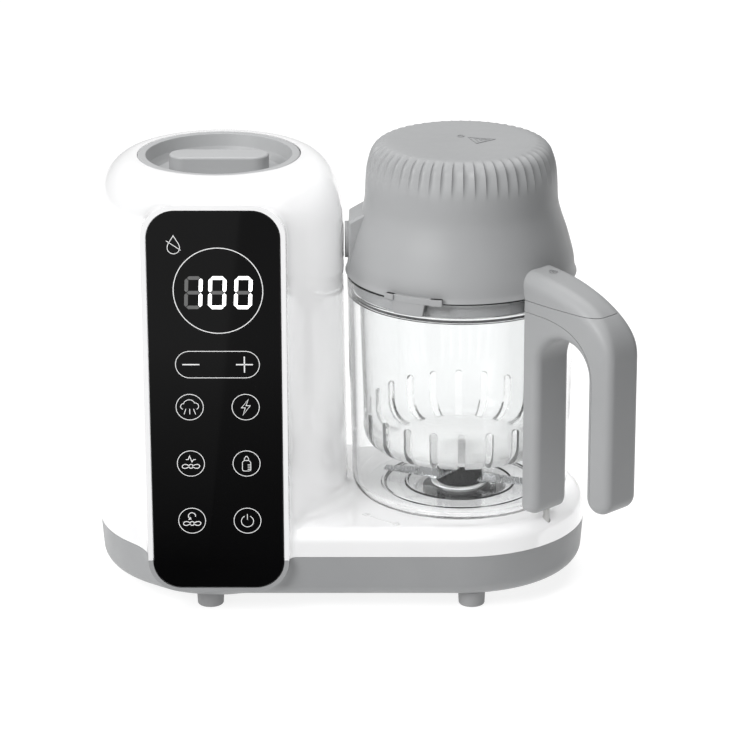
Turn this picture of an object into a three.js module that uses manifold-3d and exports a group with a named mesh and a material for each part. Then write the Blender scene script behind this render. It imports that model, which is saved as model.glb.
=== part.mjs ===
// Baby food maker: a steamer and blender on one base, with a tower that holds the water
// tank, boiler, motor and controls, and a lidded jug with a handle that lifts off the deck.
// Millimetres, +Z up. The origin is under the middle of the whole object, at floor level.
import * as THREE from "three";
import { mergeVertices } from "three/addons/utils/BufferGeometryUtils.js";
import Module from "manifold-3d";

const wasm = await Module();
wasm.setup();

// ---------------------------------------------------------------- driving dimensions
const GAP = 0.3; // running gap between neighbouring pieces
const AXIS_SPACING = 128.6; // tower axis to jug axis
const TOWER_X = -AXIS_SPACING / 2;
const JUG_X = AXIS_SPACING / 2;
const BODY_R = 68; // round ends of the body
const WALL = 2.6; // moulded wall of the body

const TRAY_BOTTOM = 9;
const SEAM_Z = 33; // joint between grey tray and white housing
const DECK_Z = 47.8;
const DECK_ROUND = 7;

const TOWER_TOP_R = 65.5; // where the shoulder starts
const SHOULDER_Z = 207.4;
const SHOULDER_WIDE = 20;
const SHOULDER_HIGH = 29;
const TOWER_TOP = SHOULDER_Z + SHOULDER_HIGH;

const PANEL_W = 69;
const PANEL_LOW = 18.5;
const PANEL_HIGH = 225.3;
const PANEL_CORNER = 15;
const PANEL_THICK = 3;
const FRAME_RIM = 2.8; // raised frame round the panel
const FRAME_FACE = -72.8; // front of that frame
const PANEL_FACE = FRAME_FACE + 0.2;

const CAP_R = 43.7;
const STEAM_Z = 188.8; // height of the steam port
const STEAM_R = 9.8;

const WELL_R = 24; // coupling well in the deck
const WELL_FLOOR = 35.8;

const JUG_TOP = 171.2;
const JUG_FLOOR = 48.1;
const LID_BOTTOM = 172.4;
const LEDGE_Z = 160.6; // step in the jug that carries the basket

const HANDLE_ANGLE = -Math.PI / 4;
const HANDLE_W = 23;
const HANDLE_EDGE = 3;
const HANDLE_OUT = 122.5; // outer face of the handle from the jug axis
const HANDLE_TOP = 171.7; // split between handle and lid arm
const ROD_REACH = 64.8; // interlock rod from the jug axis

const LARGE_STEPS = 28;
const MEDIUM_STEPS = 16;
const SMALL_STEPS = 10;

// How far the handle's rounded corner reaches from the jug axis along X and along -Y.
const HANDLE_SPAN = (HANDLE_OUT + HANDLE_W / 2 - 2 * HANDLE_EDGE) * Math.SQRT1_2 + HANDLE_EDGE;
const ORIGIN_X = (JUG_X + HANDLE_SPAN + TOWER_X - BODY_R) / 2;
const ORIGIN_Y = (BODY_R - HANDLE_SPAN) / 2;

// ---------------------------------------------------------------- finishes
const FINISH = {
  white: { color: 0xf6f6f4, roughness: 0.12, metalness: 0 },
  grey: { color: 0x8e9092, roughness: 0.45, metalness: 0 },
  lidGrey: { color: 0xa9abad, roughness: 0.42, metalness: 0 },
  black: { color: 0x0b0b0c, roughness: 0.05, metalness: 0 },
  clear: { color: 0xf2f5f5, roughness: 0.03, metalness: 0, transparent: true, opacity: 0.3 },
  rubber: { color: 0x6d6f71, roughness: 0.8, metalness: 0 },
  seal: { color: 0x3a3c3e, roughness: 0.7, metalness: 0 },
  steel: { color: 0xb9bcc0, roughness: 0.25, metalness: 1 },
  brass: { color: 0xb5934b, roughness: 0.4, metalness: 1 },
  alloy: { color: 0xb4b6b8, roughness: 0.5, metalness: 1 },
  board: { color: 0x1d5b38, roughness: 0.5, metalness: 0 },
  silicone: { color: 0xdadcdd, roughness: 0.6, metalness: 0 },
  nylon: { color: 0x1b1c1e, roughness: 0.5, metalness: 0 },
};

// ---------------------------------------------------------------- shape helpers
function toSolid(geometry) {
  const bare = geometry.index ? geometry.toNonIndexed() : geometry.clone();
  bare.deleteAttribute("normal");
  bare.deleteAttribute("uv");
  const merged = mergeVertices(bare, 1e-4);
  return new wasm.Manifold(
    new wasm.Mesh({
      numProp: 3,
      vertProperties: merged.getAttribute("position").array,
      triVerts: new Uint32Array(merged.index.array),
    }),
  );
}

function toGeometry(solid) {
  const made = solid.getMesh();
  const geometry = new THREE.BufferGeometry();
  geometry.setAttribute("position", new THREE.BufferAttribute(made.vertProperties, made.numProp));
  geometry.setIndex(new THREE.BufferAttribute(made.triVerts, 1));
  geometry.computeVertexNormals();
  return geometry;
}

function joined(...solids) {
  return solids.reduce((all, next) => all.add(next));
}

function cut(solid, ...tools) {
  return tools.reduce((left, tool) => left.subtract(tool), solid);
}

// Turns an outline of [radius, height] pairs about the Z axis. The outline runs up the
// outside and back down the inside; one that doesn't start on the axis is closed first.
function turned(outline, steps = LARGE_STEPS) {
  const points = outline.map(([r, z]) => new THREE.Vector2(r, z));
  const onAxis = outline[0][0] === 0 && outline[outline.length - 1][0] === 0;
  if (!onAxis) points.push(points[0].clone());
  return new THREE.LatheGeometry(points, steps).rotateX(Math.PI / 2);
}

function turnedSolid(outline, steps) {
  return toSolid(turned(outline, steps));
}

// A turned shape pulled apart along X, so that its round plan becomes a stadium.
function stadiumSolid(outline, steps = LARGE_STEPS) {
  const geometry = turned(outline, steps).rotateZ(Math.PI / steps);
  const position = geometry.getAttribute("position");
  for (let i = 0; i < position.count; i++) {
    const x = position.getX(i);
    if (Math.abs(x) > GAP) position.setX(i, x + Math.sign(x) * JUG_X);
  }
  return toSolid(geometry);
}

// Points of a quarter ellipse from its side to its top, centre [r, z].
function quarter(r, z, wide, high, steps, from = 0, to = 1) {
  return Array.from({ length: steps + 1 }, (_, i) => {
    const angle = ((from + ((to - from) * i) / steps) * Math.PI) / 2;
    return [r + wide * Math.cos(angle), z + high * Math.sin(angle)];
  });
}

function discSolid(radius, low, high, steps = MEDIUM_STEPS) {
  return turnedSolid([[0, low], [radius, low], [radius, high], [0, high]], steps);
}

function ringSolid(inner, outer, low, high, steps = MEDIUM_STEPS) {
  return turnedSolid([[outer, low], [outer, high], [inner, high], [inner, low]], steps);
}

// A round bar between two points.
function barSolid(radius, from, to, steps = SMALL_STEPS) {
  const start = new THREE.Vector3(...from);
  const along = new THREE.Vector3(...to).sub(start);
  const geometry = new THREE.CylinderGeometry(radius, radius, along.length(), steps);
  const up = new THREE.Vector3(0, 1, 0);
  geometry.applyQuaternion(new THREE.Quaternion().setFromUnitVectors(up, along.clone().normalize()));
  geometry.translate(...start.addScaledVector(along, 0.5).toArray());
  return toSolid(geometry);
}

function blockSolid([x0, x1], [y0, y1], [z0, z1]) {
  const geometry = new THREE.BoxGeometry(x1 - x0, y1 - y0, z1 - z0);
  return toSolid(geometry.translate((x0 + x1) / 2, (y0 + y1) / 2, (z0 + z1) / 2));
}

// Extrudes a shape drawn in XZ along Y, from the front to the back.
function acrossSolid(shape, front, back, edge = 0, curveSegments = 6) {
  const geometry = new THREE.ExtrudeGeometry(shape, {
    depth: back - front - 2 * edge,
    bevelEnabled: edge > 0,
    bevelSize: edge,
    bevelThickness: edge,
    bevelOffset: -edge,
    bevelSegments: 2,
    curveSegments,
  });
  return toSolid(geometry.rotateX(Math.PI / 2).translate(0, back - edge, 0));
}

function uprightSolid(shape, low, high, curveSegments = 8) {
  const options = { depth: high - low, bevelEnabled: false, curveSegments };
  return toSolid(new THREE.ExtrudeGeometry(shape, options).translate(0, 0, low));
}

function roundedPlate(halfWidth, low, high, corner) {
  const shape = new THREE.Shape();
  shape.absarc(halfWidth - corner, high - corner, corner, 0, Math.PI / 2);
  shape.absarc(corner - halfWidth, high - corner, corner, Math.PI / 2, Math.PI);
  shape.absarc(corner - halfWidth, low + corner, corner, Math.PI, 1.5 * Math.PI);
  shape.absarc(halfWidth - corner, low + corner, corner, 1.5 * Math.PI, 2 * Math.PI);
  return shape;
}

function sector(inner, outer, fromDeg, toDeg) {
  const from = THREE.MathUtils.degToRad(fromDeg);
  const to = THREE.MathUtils.degToRad(toDeg);
  const shape = new THREE.Shape();
  shape.absarc(0, 0, outer, from, to, false);
  shape.absarc(0, 0, inner, to, from, true);
  return shape;
}

function hoseSolid(radius, route, steps = 12) {
  const curve = new THREE.CatmullRomCurve3(route.map((p) => new THREE.Vector3(...p)));
  const section = new THREE.Shape().absarc(0, 0, radius, 0, 2 * Math.PI);
  return toSolid(
    new THREE.ExtrudeGeometry(section, { steps, extrudePath: curve, curveSegments: 4 }),
  );
}

// ---------------------------------------------------------------- scene groups
const maker = new THREE.Group();
maker.position.set(-ORIGIN_X, -ORIGIN_Y, 0);

const tower = new THREE.Group();
tower.position.x = TOWER_X;

const jugPlace = new THREE.Group();
jugPlace.position.x = JUG_X;

const handlePlace = new THREE.Group();
handlePlace.rotation.z = HANDLE_ANGLE;

maker.add(tower, jugPlace);
jugPlace.add(handlePlace);

function place(group, name, finish, solid) {
  const material = new THREE.MeshStandardMaterial(FINISH[finish]);
  const mesh = new THREE.Mesh(toGeometry(solid), material);
  mesh.name = name;
  group.add(mesh);
  return mesh;
}

// ---------------------------------------------------------------- body casing
const PLATE_BACK = FRAME_FACE + PANEL_THICK + 0.5 + 2.5; // back of the wall behind the panel
const FRAME_BACK = -45;
const FRAME_HALF = PANEL_W / 2 + FRAME_RIM;
const FRAME_CORNER = PANEL_CORNER + FRAME_RIM - 0.4;

function panelFrame() {
  const outline = roundedPlate(FRAME_HALF, PANEL_LOW - 2.2, PANEL_HIGH + FRAME_RIM, FRAME_CORNER);
  return acrossSolid(outline, FRAME_FACE, FRAME_BACK).translate([TOWER_X, 0, 0]);
}

function panelFrameHollow() {
  const half = FRAME_HALF - FRAME_RIM - 0.2;
  const outline = roundedPlate(half, PANEL_LOW + 0.6, PANEL_HIGH, FRAME_CORNER - FRAME_RIM);
  return acrossSolid(outline, PLATE_BACK, FRAME_BACK + 1).translate([TOWER_X, 0, 0]);
}

function panelRecess() {
  const outline = roundedPlate(
    PANEL_W / 2 + GAP,
    PANEL_LOW - GAP,
    PANEL_HIGH + GAP,
    PANEL_CORNER + GAP,
  );
  const back = PANEL_FACE + PANEL_THICK + GAP;
  return acrossSolid(outline, FRAME_FACE - 2, back).translate([TOWER_X, 0, 0]);
}

// Screw posts stand at the round ends, each with a rib to the wall.
const POST_REACH = 55.5;
const POST_ANGLE = 30; // degrees off the body's long axis
const POST_R = 5;
const SCREW_R = 1.4;
const SCREW_HEAD_R = 3.2;
const SCREW_SPOTS = [-1, 1].flatMap((end) =>
  [-1, 1].map((side) => {
    const angle = THREE.MathUtils.degToRad(POST_ANGLE);
    return [
      end * (JUG_X + POST_REACH * Math.cos(angle)),
      side * POST_REACH * Math.sin(angle),
      end > 0 ? side * POST_ANGLE : 180 - side * POST_ANGLE,
    ];
  }),
);

const FOOT_X = 70.2;
const FOOT_Y = 52;
const CORD_Z = 52;
const WINDOW_HALF = 27;
const WINDOW_Z = [36, 212];
const FOOT_R = 7.75;
const PEG_R = 3;
const FOOT_SPOTS = {
  front_left: [-FOOT_X, -FOOT_Y],
  front_right: [FOOT_X, -FOOT_Y],
  back_left: [-FOOT_X, FOOT_Y],
  back_right: [FOOT_X, FOOT_Y],
};

function baseTray() {
  const top = SEAM_Z - GAP / 2;
  const shell = stadiumSolid([
    [0, TRAY_BOTTOM],
    ...quarter(58.6, 17.5, 8.2, 8.5, 3, -1, 0),
    [BODY_R, top],
    [BODY_R - WALL, top],
    [64.2, 17.8],
    [62.6, 13.6],
    [58.5, TRAY_BOTTOM + WALL],
    [0, TRAY_BOTTOM + WALL],
  ]);
  const frame = cut(panelFrame(), blockSolid([-200, 0], [-100, 0], [top, 300]));
  const posts = SCREW_SPOTS.map(([x, y]) =>
    discSolid(POST_R, TRAY_BOTTOM + 1, top, SMALL_STEPS).translate([x, y, 0]),
  );
  const screwHoles = SCREW_SPOTS.map(([x, y]) =>
    joined(
      discSolid(SCREW_R + 0.5, 0, 40, SMALL_STEPS),
      discSolid(SCREW_HEAD_R + 0.4, 0, 12.4, SMALL_STEPS),
    ).translate([x, y, 0]),
  );
  const pegHoles = Object.values(FOOT_SPOTS).map(([x, y]) =>
    discSolid(PEG_R + GAP, 0, 20, SMALL_STEPS).translate([x, y, 0]),
  );
  const vents = [-1, 0, 1].map((i) =>
    blockSolid([TOWER_X + i * 9 - 2, TOWER_X + i * 9 + 2], [8, 34], [0, 20]),
  );
  const open = [...screwHoles, ...pegHoles, ...vents, panelFrameHollow(), panelRecess()];
  return cut(joined(shell, frame, ...posts), ...open);
}

function towerOutline(inset, low) {
  const wide = SHOULDER_WIDE - inset;
  const high = SHOULDER_HIGH - inset;
  const centre = TOWER_TOP_R - SHOULDER_WIDE;
  return [
    [0, low],
    [BODY_R - inset, low],
    [BODY_R - inset, 40],
    ...quarter(centre, SHOULDER_Z, wide, high, 4),
    [0, SHOULDER_Z + high],
  ];
}

function deckOutline(inset, low) {
  const round = DECK_ROUND - inset;
  return [
    [0, low],
    [BODY_R - inset, low],
    ...quarter(BODY_R - DECK_ROUND, DECK_Z - DECK_ROUND, round, round, 3),
    [0, DECK_Z - inset],
  ];
}

function upperHousing() {
  const low = SEAM_Z + GAP / 2;
  const below = SEAM_Z - 1;
  const away = [TOWER_X, 0, 0];
  const onJug = [JUG_X, 0, 0];
  const frame = cut(panelFrame(), blockSolid([-200, 0], [-100, 0], [0, low]));
  const outside = joined(
    turnedSolid(towerOutline(0, low)).translate(away),
    stadiumSolid(deckOutline(0, low)),
    frame,
  );
  const hollow = joined(
    cut(turnedSolid(towerOutline(WALL, below)), blockSolid([-99, 99], [-99, PLATE_BACK], [0, 300]))
      .translate(away),
    cut(stadiumSolid(deckOutline(WALL, below)), blockSolid([-200, 0], [-99, PLATE_BACK], [0, 300])),
    cut(panelFrameHollow(), blockSolid([-200, 0], [-100, 0], [0, below])),
  );
  const well = discSolid(WELL_R + WALL, low + 0.2, DECK_Z - 1, MEDIUM_STEPS).translate(onJug);
  const posts = SCREW_SPOTS.map(([x, y, turn]) =>
    joined(
      discSolid(POST_R, low, DECK_Z - 2, SMALL_STEPS),
      blockSolid([0, 11], [-1.2, 1.2], [low, 40]).rotate([0, 0, turn]),
    ).translate([x, y, 0]),
  );
  const postHoles = SCREW_SPOTS.map(([x, y]) =>
    discSolid(SCREW_R + GAP, 30, 40, SMALL_STEPS).translate([x, y, 0]),
  );
  const plunger = ROD_REACH * Math.SQRT1_2;
  return cut(
    joined(cut(outside, hollow), well, ...posts),
    ...postHoles,
    panelRecess(),
    blockSolid([TOWER_X - WINDOW_HALF, TOWER_X + WINDOW_HALF], [-70, PLATE_BACK + 1], WINDOW_Z),
    discSolid(CAP_R + 0.4, TOWER_TOP - 6, TOWER_TOP + 5, LARGE_STEPS).translate(away),
    barSolid(STEAM_R - 0.5, [TOWER_X + 50, 0, STEAM_Z], [TOWER_X + 70, 0, STEAM_Z], MEDIUM_STEPS),
    discSolid(WELL_R, WELL_FLOOR, DECK_Z + 5, MEDIUM_STEPS).translate(onJug),
    discSolid(9.3, SEAM_Z - 5, DECK_Z).translate(onJug),
    discSolid(2.1, 35, DECK_Z + 5, SMALL_STEPS).translate([JUG_X + plunger, -plunger, 0]),
    barSolid(5.3, [TOWER_X, 50, CORD_Z], [TOWER_X, 80, CORD_Z]),
  );
}

function foot() {
  return turnedSolid(
    [
      [0, 0],
      [FOOT_R - 1.2, 0],
      [FOOT_R - 0.3, 1.2],
      [FOOT_R, TRAY_BOTTOM - GAP],
      [PEG_R, TRAY_BOTTOM - GAP],
      [PEG_R, 13],
      [0, 13],
    ],
    SMALL_STEPS,
  );
}

function baseScrew() {
  return joined(
    discSolid(SCREW_HEAD_R, 9.7, 12.1, SMALL_STEPS),
    discSolid(SCREW_R, 12, 38, SMALL_STEPS),
  );
}

place(maker, "base_tray", "grey", baseTray());
place(maker, "upper_housing", "white", upperHousing());
Object.entries(FOOT_SPOTS).forEach(([spot, [x, y]]) => {
  place(maker, `foot_${spot}`, "rubber", foot()).position.set(x, y, 0);
});
SCREW_SPOTS.forEach(([x, y], i) => {
  place(maker, `base_screw_${i + 1}`, "steel", baseScrew()).position.set(x, y, 0);
});

function cordGland() {
  return cut(
    joined(
      barSolid(5, [0, 60, CORD_Z], [0, 67.4, CORD_Z], 20),
      barSolid(7.5, [0, 60, CORD_Z], [0, 62.6, CORD_Z], 20),
    ),
    barSolid(3.4, [0, 50, CORD_Z], [0, 80, CORD_Z]),
  );
}

place(tower, "cord_gland", "nylon", cordGland());

// ---------------------------------------------------------------- controls
function controlPanel() {
  const outline = roundedPlate(PANEL_W / 2, PANEL_LOW, PANEL_HIGH, PANEL_CORNER);
  return acrossSolid(outline, PANEL_FACE, PANEL_FACE + PANEL_THICK);
}

const BOARD_FRONT = PLATE_BACK + GAP;
const BOARD_THICK = 1.6;

function powerBoard() {
  const board = blockSolid([-30, 30], [48, 48 + BOARD_THICK], [42, 100]);
  const transformer = blockSolid([-20, 2], [38, 48.5], [50, 68]);
  const capacitor = barSolid(5, [14, 40, 60], [14, 48.5, 60]);
  const relay = blockSolid([4, 20], [40, 48.5], [76, 92]);
  return joined(board, transformer, capacitor, relay);
}

place(tower, "control_panel", "black", controlPanel());
place(
  tower,
  "touch_board",
  "board",
  blockSolid([-31, 31], [BOARD_FRONT, BOARD_FRONT + BOARD_THICK], [38, 214]),
);
place(
  tower,
  "display_module",
  "nylon",
  blockSolid([-24, 24], [PANEL_FACE + PANEL_THICK + GAP, PLATE_BACK], [157, 205]),
);
place(tower, "power_board", "board", powerBoard());

// ---------------------------------------------------------------- water and steam
function waterTank() {
  return turnedSolid(
    [
      [0, 178],
      [44, 178],
      [48, 182],
      [48, 218],
      [43.4, 224],
      [43.4, 230.9],
      [47, 230.9],
      [47, 233.3],
      [40.9, 233.3],
      [40.9, 223.4],
      [46, 217.4],
      [46, 183],
      [43, 180],
      [0, 180],
    ],
    LARGE_STEPS,
  );
}

// The cap is a dish with a grip bar across it; a groove in its skirt carries the seal.
function tankCap() {
  const dish = turnedSolid(
    [
      [0, 222.8],
      [30, 223.6],
      [37, 226.5],
      [38.1, 229],
      [38.1, 232],
      [40.2, 232],
      [40.2, 233.6],
      [CAP_R, 233.6],
      [CAP_R, TOWER_TOP - 1],
      [43, TOWER_TOP],
      [39.9, TOWER_TOP],
      [39.2, TOWER_TOP - 0.8],
      [37.5, 230.6],
      [30, 227.4],
      [0, 226],
    ],
    LARGE_STEPS,
  );
  const grip = new THREE.Shape();
  grip.absarc(18, 0, 8.5, -Math.PI / 2, Math.PI / 2);
  grip.absarc(-18, 0, 8.5, Math.PI / 2, 1.5 * Math.PI);
  return joined(dish, uprightSolid(grip, 225, TOWER_TOP));
}

const BOILER_PORT_Z = 155.5;
const HOSE_R = 3;

function boilerCover() {
  const port = barSolid(4, [14, 0, BOILER_PORT_Z], [36, 0, BOILER_PORT_Z]);
  const inlet = discSolid(2.6, 151, 156, SMALL_STEPS).translate([-14, 0, 0]);
  return joined(discSolid(33, 149.3, 152), port, inlet);
}

function waterPump() {
  const body = turnedSolid([[0, 111], [11, 111], [11, 136], [8, 140], [0, 140]], 20);
  const inlet = discSolid(2.4, 139, 146, SMALL_STEPS).translate([-4.5, 0, 0]);
  const outlet = discSolid(2.4, 139, 146, SMALL_STEPS).translate([4.5, 0, 0]);
  return joined(body, inlet, outlet).translate([-48, 0, 0]);
}

function steamOutlet() {
  const nose = barSolid(9, [51, 0, STEAM_Z], [65.7, 0, STEAM_Z], 24);
  const stem = discSolid(4.5, 174, STEAM_Z, SMALL_STEPS).translate([55.5, 0, 0]);
  const bore = barSolid(4, [54, 0, STEAM_Z], [70, 0, STEAM_Z]);
  const riser = discSolid(2.6, 170, STEAM_Z, SMALL_STEPS).translate([55.5, 0, 0]);
  return cut(joined(nose, stem), bore, riser);
}

place(tower, "water_tank", "clear", waterTank());
place(tower, "tank_cap", "grey", tankCap());
place(tower, "tank_cap_seal", "silicone", ringSolid(38.4, 40.6, 229.2, 231.8, LARGE_STEPS));
place(
  tower,
  "boiler_body",
  "alloy",
  turnedSolid(
    [[0, 128], [30, 128], [30, 146], [33, 146], [33, 149], [26, 149], [26, 132], [0, 132]],
    MEDIUM_STEPS,
  ),
);
place(tower, "boiler_cover", "alloy", boilerCover());
place(tower, "boiler_stand", "nylon", ringSolid(24, 27, 110.8, 127.7));
place(
  tower,
  "thermostat",
  "steel",
  discSolid(8, 152.3, 159, SMALL_STEPS).translate([-8, 16, 0]),
);
place(tower, "water_pump", "nylon", waterPump());
place(tower, "steam_outlet", "rubber", steamOutlet());
place(
  tower,
  "feed_hose",
  "silicone",
  hoseSolid(HOSE_R, [[-30, 0, 177.7], [-30, 0, 172], [-42, 0, 163], [-52.5, 0, 154], [-52.5, 0, 146.3]]),
);
place(
  tower,
  "boiler_hose",
  "silicone",
  hoseSolid(HOSE_R, [[-43.5, 0, 146.3], [-43.5, 0, 152], [-29, 0, 162], [-14, 0, 162], [-14, 0, 156.3]]),
);
place(
  tower,
  "steam_hose",
  "silicone",
  hoseSolid(4, [
    [36.3, 0, BOILER_PORT_Z],
    [44, 0, BOILER_PORT_Z],
    [53, 0, 160],
    [55.5, 0, 167],
    [55.5, 0, 173.7],
  ]),
);

// ---------------------------------------------------------------- motor and belt drive
const MOTOR_PULLEY_R = 12;
const DRIVEN_PULLEY_R = 34;
const SHAFT_R = 4;
const BELT_THICK = 1.5;

function chassisPlate() {
  const plate = discSolid(60, 108, 110.5, LARGE_STEPS);
  return cut(plate, discSolid(18, 100, 120), blockSolid([-40, 40], [-70, -48], [100, 120]));
}

function motorBracket() {
  const plate = cut(discSolid(46, 33.6, 36, LARGE_STEPS), discSolid(10, 30, 40));
  const legs = [90, 180, 270].map((deg) => {
    const angle = THREE.MathUtils.degToRad(deg);
    return discSolid(4, 11.9, 35, SMALL_STEPS).translate([41 * Math.cos(angle), 41 * Math.sin(angle), 0]);
  });
  return joined(plate, ...legs);
}

// The belt's loop round two pulleys, the larger on the jug axis.
function beltLoop(grow) {
  const small = MOTOR_PULLEY_R + grow;
  const large = DRIVEN_PULLEY_R + grow;
  const lean = Math.acos((large - small) / AXIS_SPACING);
  const loop = new THREE.Shape();
  loop.absarc(JUG_X, 0, large, -(Math.PI - lean), Math.PI - lean, false);
  loop.absarc(TOWER_X, 0, small, Math.PI - lean, Math.PI + lean, false);
  return loop;
}

function driveBelt() {
  const outer = uprightSolid(beltLoop(GAP + BELT_THICK), 18, 26, 10);
  return cut(outer, uprightSolid(beltLoop(GAP), 10, 30, 10));
}

const DOG_STARTS = [0, 120, 240];
const DOG_WIDTH = 30;

function dogs(low, high, turn) {
  return DOG_STARTS.map((start) => {
    const from = start + turn - DOG_WIDTH / 2;
    return uprightSolid(sector(5, 11.5, from, from + DOG_WIDTH), low, high, 3);
  });
}

place(tower, "chassis_plate", "nylon", chassisPlate());
place(tower, "motor_bracket", "steel", motorBracket());
place(
  tower,
  "motor_body",
  "alloy",
  turnedSolid([[28, 38], [30, 41], [30, 96], [28, 99], [3.3, 99], [3.3, 38]], MEDIUM_STEPS),
);
place(tower, "motor_shaft", "steel", discSolid(3, 14, 104, SMALL_STEPS));
place(tower, "motor_pulley", "nylon", ringSolid(3.3, MOTOR_PULLEY_R, 17, 27));
place(maker, "drive_belt", "seal", driveBelt());
place(jugPlace, "driven_pulley", "nylon", ringSolid(SHAFT_R + GAP, DRIVEN_PULLEY_R, 17, 27, LARGE_STEPS));
place(jugPlace, "drive_shaft", "steel", discSolid(SHAFT_R, 12.2, 38.6, SMALL_STEPS));
place(jugPlace, "lower_bush", "brass", ringSolid(SHAFT_R + GAP, 8, 12, 15.8, SMALL_STEPS));
place(jugPlace, "bearing_housing", "nylon", ringSolid(9.3, 16, 28, 32.8));
place(jugPlace, "upper_bush", "brass", ringSolid(SHAFT_R + GAP, 9, 28, 36.2, 20));
place(
  jugPlace,
  "drive_coupling",
  "nylon",
  cut(
    joined(discSolid(11.5, 36.6, 39.2, 24), ...dogs(39, 42.6, 0)),
    discSolid(SHAFT_R + GAP, 30, 38.8, SMALL_STEPS),
  ),
);

// ---------------------------------------------------------------- jug and blades
function jug() {
  return turnedSolid([
    [10.3, JUG_FLOOR],
    [51, JUG_FLOOR],
    ...quarter(51, JUG_FLOOR + 8, 8, 8, 3, -1, 0).slice(1),
    [60.9, 153],
    [61.2, JUG_TOP],
    [58.8, JUG_TOP],
    [58.7, LEDGE_Z],
    [57.4, LEDGE_Z],
    [57.4, 153],
    [56.2, 56.5],
    ...quarter(51, JUG_FLOOR + 8, 5.2, 4.9, 3, 0, -1).slice(1),
    [10.3, JUG_FLOOR + 3.1],
  ]);
}

const SLOT_COUNT = 22;
const SLOT_W = 4;
const SLOT_TOP = 97;

// The basket hangs by its flange from the ledge inside the jug; slots drain its foot.
function steamBasket() {
  const wall = turnedSolid(
    [
      [0, 73.3],
      [36.4, 73.3],
      ...quarter(36.4, 89.3, 16, 16, 2, -1, 0).slice(1),
      [54.2, 160.9],
      [58.2, 160.9],
      [58.2, 163.4],
      [52.2, 163.4],
      [50.4, 89.3],
      ...quarter(36.4, 89.3, 14, 14, 2, 0, -1).slice(1),
      [0, 75.3],
    ],
    SLOT_COUNT,
  );
  const slots = Array.from({ length: SLOT_COUNT }, (_, i) => {
    const slot = blockSolid([38, 60], [-SLOT_W / 2, SLOT_W / 2], [60, SLOT_TOP]);
    return slot.rotate([0, 0, (360 * (i + 0.5)) / SLOT_COUNT]);
  });
  return cut(wall, ...slots);
}

// A two-armed blade; grow widens it for the pocket that it sits in.
function bladeSolid(reach, low, thick, turn, grow) {
  const half = 6 + grow;
  const shape = new THREE.Shape();
  shape.moveTo(-reach, -1.5);
  shape.quadraticCurveTo(-reach / 2, -half, 0, -half);
  shape.quadraticCurveTo(reach / 2, -half, reach, -half / 2);
  shape.lineTo(reach, 1.5);
  shape.quadraticCurveTo(reach / 2, half, 0, half);
  shape.quadraticCurveTo(-reach / 2, half, -reach, half / 2);
  shape.closePath();
  return uprightSolid(shape, low - grow, low + thick + grow, 5).rotate([0, 0, turn]);
}

const SPINDLE_R = 3;
const LOWER_BLADE = [43, 55.2, 1.6, -15];
const UPPER_BLADE = [30, 62, 1.6, 62];

function withSpindleHole(solid) {
  return cut(solid, discSolid(SPINDLE_R + GAP, 40, 80, SMALL_STEPS));
}

function bladeHub() {
  const hub = turnedSolid(
    [[0, 53.5], [12.3, 53.5], [12.3, 68.3], [10.8, 69.8], [0, 69.8]],
    MEDIUM_STEPS,
  );
  const bore = discSolid(SPINDLE_R + GAP, 50, 68.3, SMALL_STEPS);
  return cut(hub, bore, bladeSolid(...LOWER_BLADE, GAP), bladeSolid(...UPPER_BLADE, GAP));
}

place(jugPlace, "jug", "clear", jug());
place(
  jugPlace,
  "jug_base_ring",
  "grey",
  turnedSolid(
    [[12.2, 43.5], [20, 43.5], [20, 47.8], [10.3, 47.8], [10.3, 46], [12.2, 46]],
    MEDIUM_STEPS,
  ),
);
place(
  jugPlace,
  "blade_bearing",
  "silicone",
  turnedSolid(
    [[10, 45.8], [10, 51.6], [15.6, 51.6], [15.6, 53.1], [3.3, 53.1], [3.3, 45.8]],
    MEDIUM_STEPS,
  ),
);
place(jugPlace, "blade_spindle", "steel", discSolid(SPINDLE_R, 43.8, 68, SMALL_STEPS));
place(jugPlace, "blade_hub", "nylon", bladeHub());
place(jugPlace, "lower_blade", "steel", withSpindleHole(bladeSolid(...LOWER_BLADE, 0)));
place(jugPlace, "upper_blade", "steel", withSpindleHole(bladeSolid(...UPPER_BLADE, 0)));
place(
  jugPlace,
  "jug_coupling",
  "nylon",
  cut(
    joined(discSolid(11.5, 43, 45.4, 24), ...dogs(39.6, 43.2, 60)),
    discSolid(SPINDLE_R + GAP, 43.5, 50, SMALL_STEPS),
  ),
);
place(jugPlace, "steam_basket", "clear", steamBasket());

// ---------------------------------------------------------------- handle
const ARCH_R = 17;
const HANDLE_LOW = 52.3;
const ARCH_X = 88.5;
const ARCH_Z = 137.8;
const LEG_IN = 61.6;
const ARM_ROOT = 53; // the arm starts inside the lid's wall

// Side view of the handle and lid arm as one loop, [distance from the jug axis, height].
function handleOutline() {
  const shape = new THREE.Shape();
  shape.moveTo(LEG_IN, 57);
  shape.quadraticCurveTo(LEG_IN, HANDLE_LOW, 66.5, HANDLE_LOW);
  shape.quadraticCurveTo(ARCH_X - ARCH_R, HANDLE_LOW, ARCH_X - ARCH_R, 58);
  shape.lineTo(ARCH_X - ARCH_R, ARCH_Z);
  shape.absarc(ARCH_X, ARCH_Z, ARCH_R, Math.PI, 0, true);
  shape.lineTo(ARCH_X + ARCH_R, 73.5);
  shape.absarc(ARCH_X + ARCH_R + 8.5, 73.5, 8.5, Math.PI, 2 * Math.PI, false);
  shape.lineTo(HANDLE_OUT, 150);
  shape.bezierCurveTo(HANDLE_OUT, 166, 108, 176.5, 92, 181);
  shape.bezierCurveTo(82, 184, 70, 186.5, ARM_ROOT, 187);
  shape.lineTo(ARM_ROOT, HANDLE_TOP + 1);
  shape.lineTo(LEG_IN, HANDLE_TOP + 1);
  shape.closePath();
  return shape;
}

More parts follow.
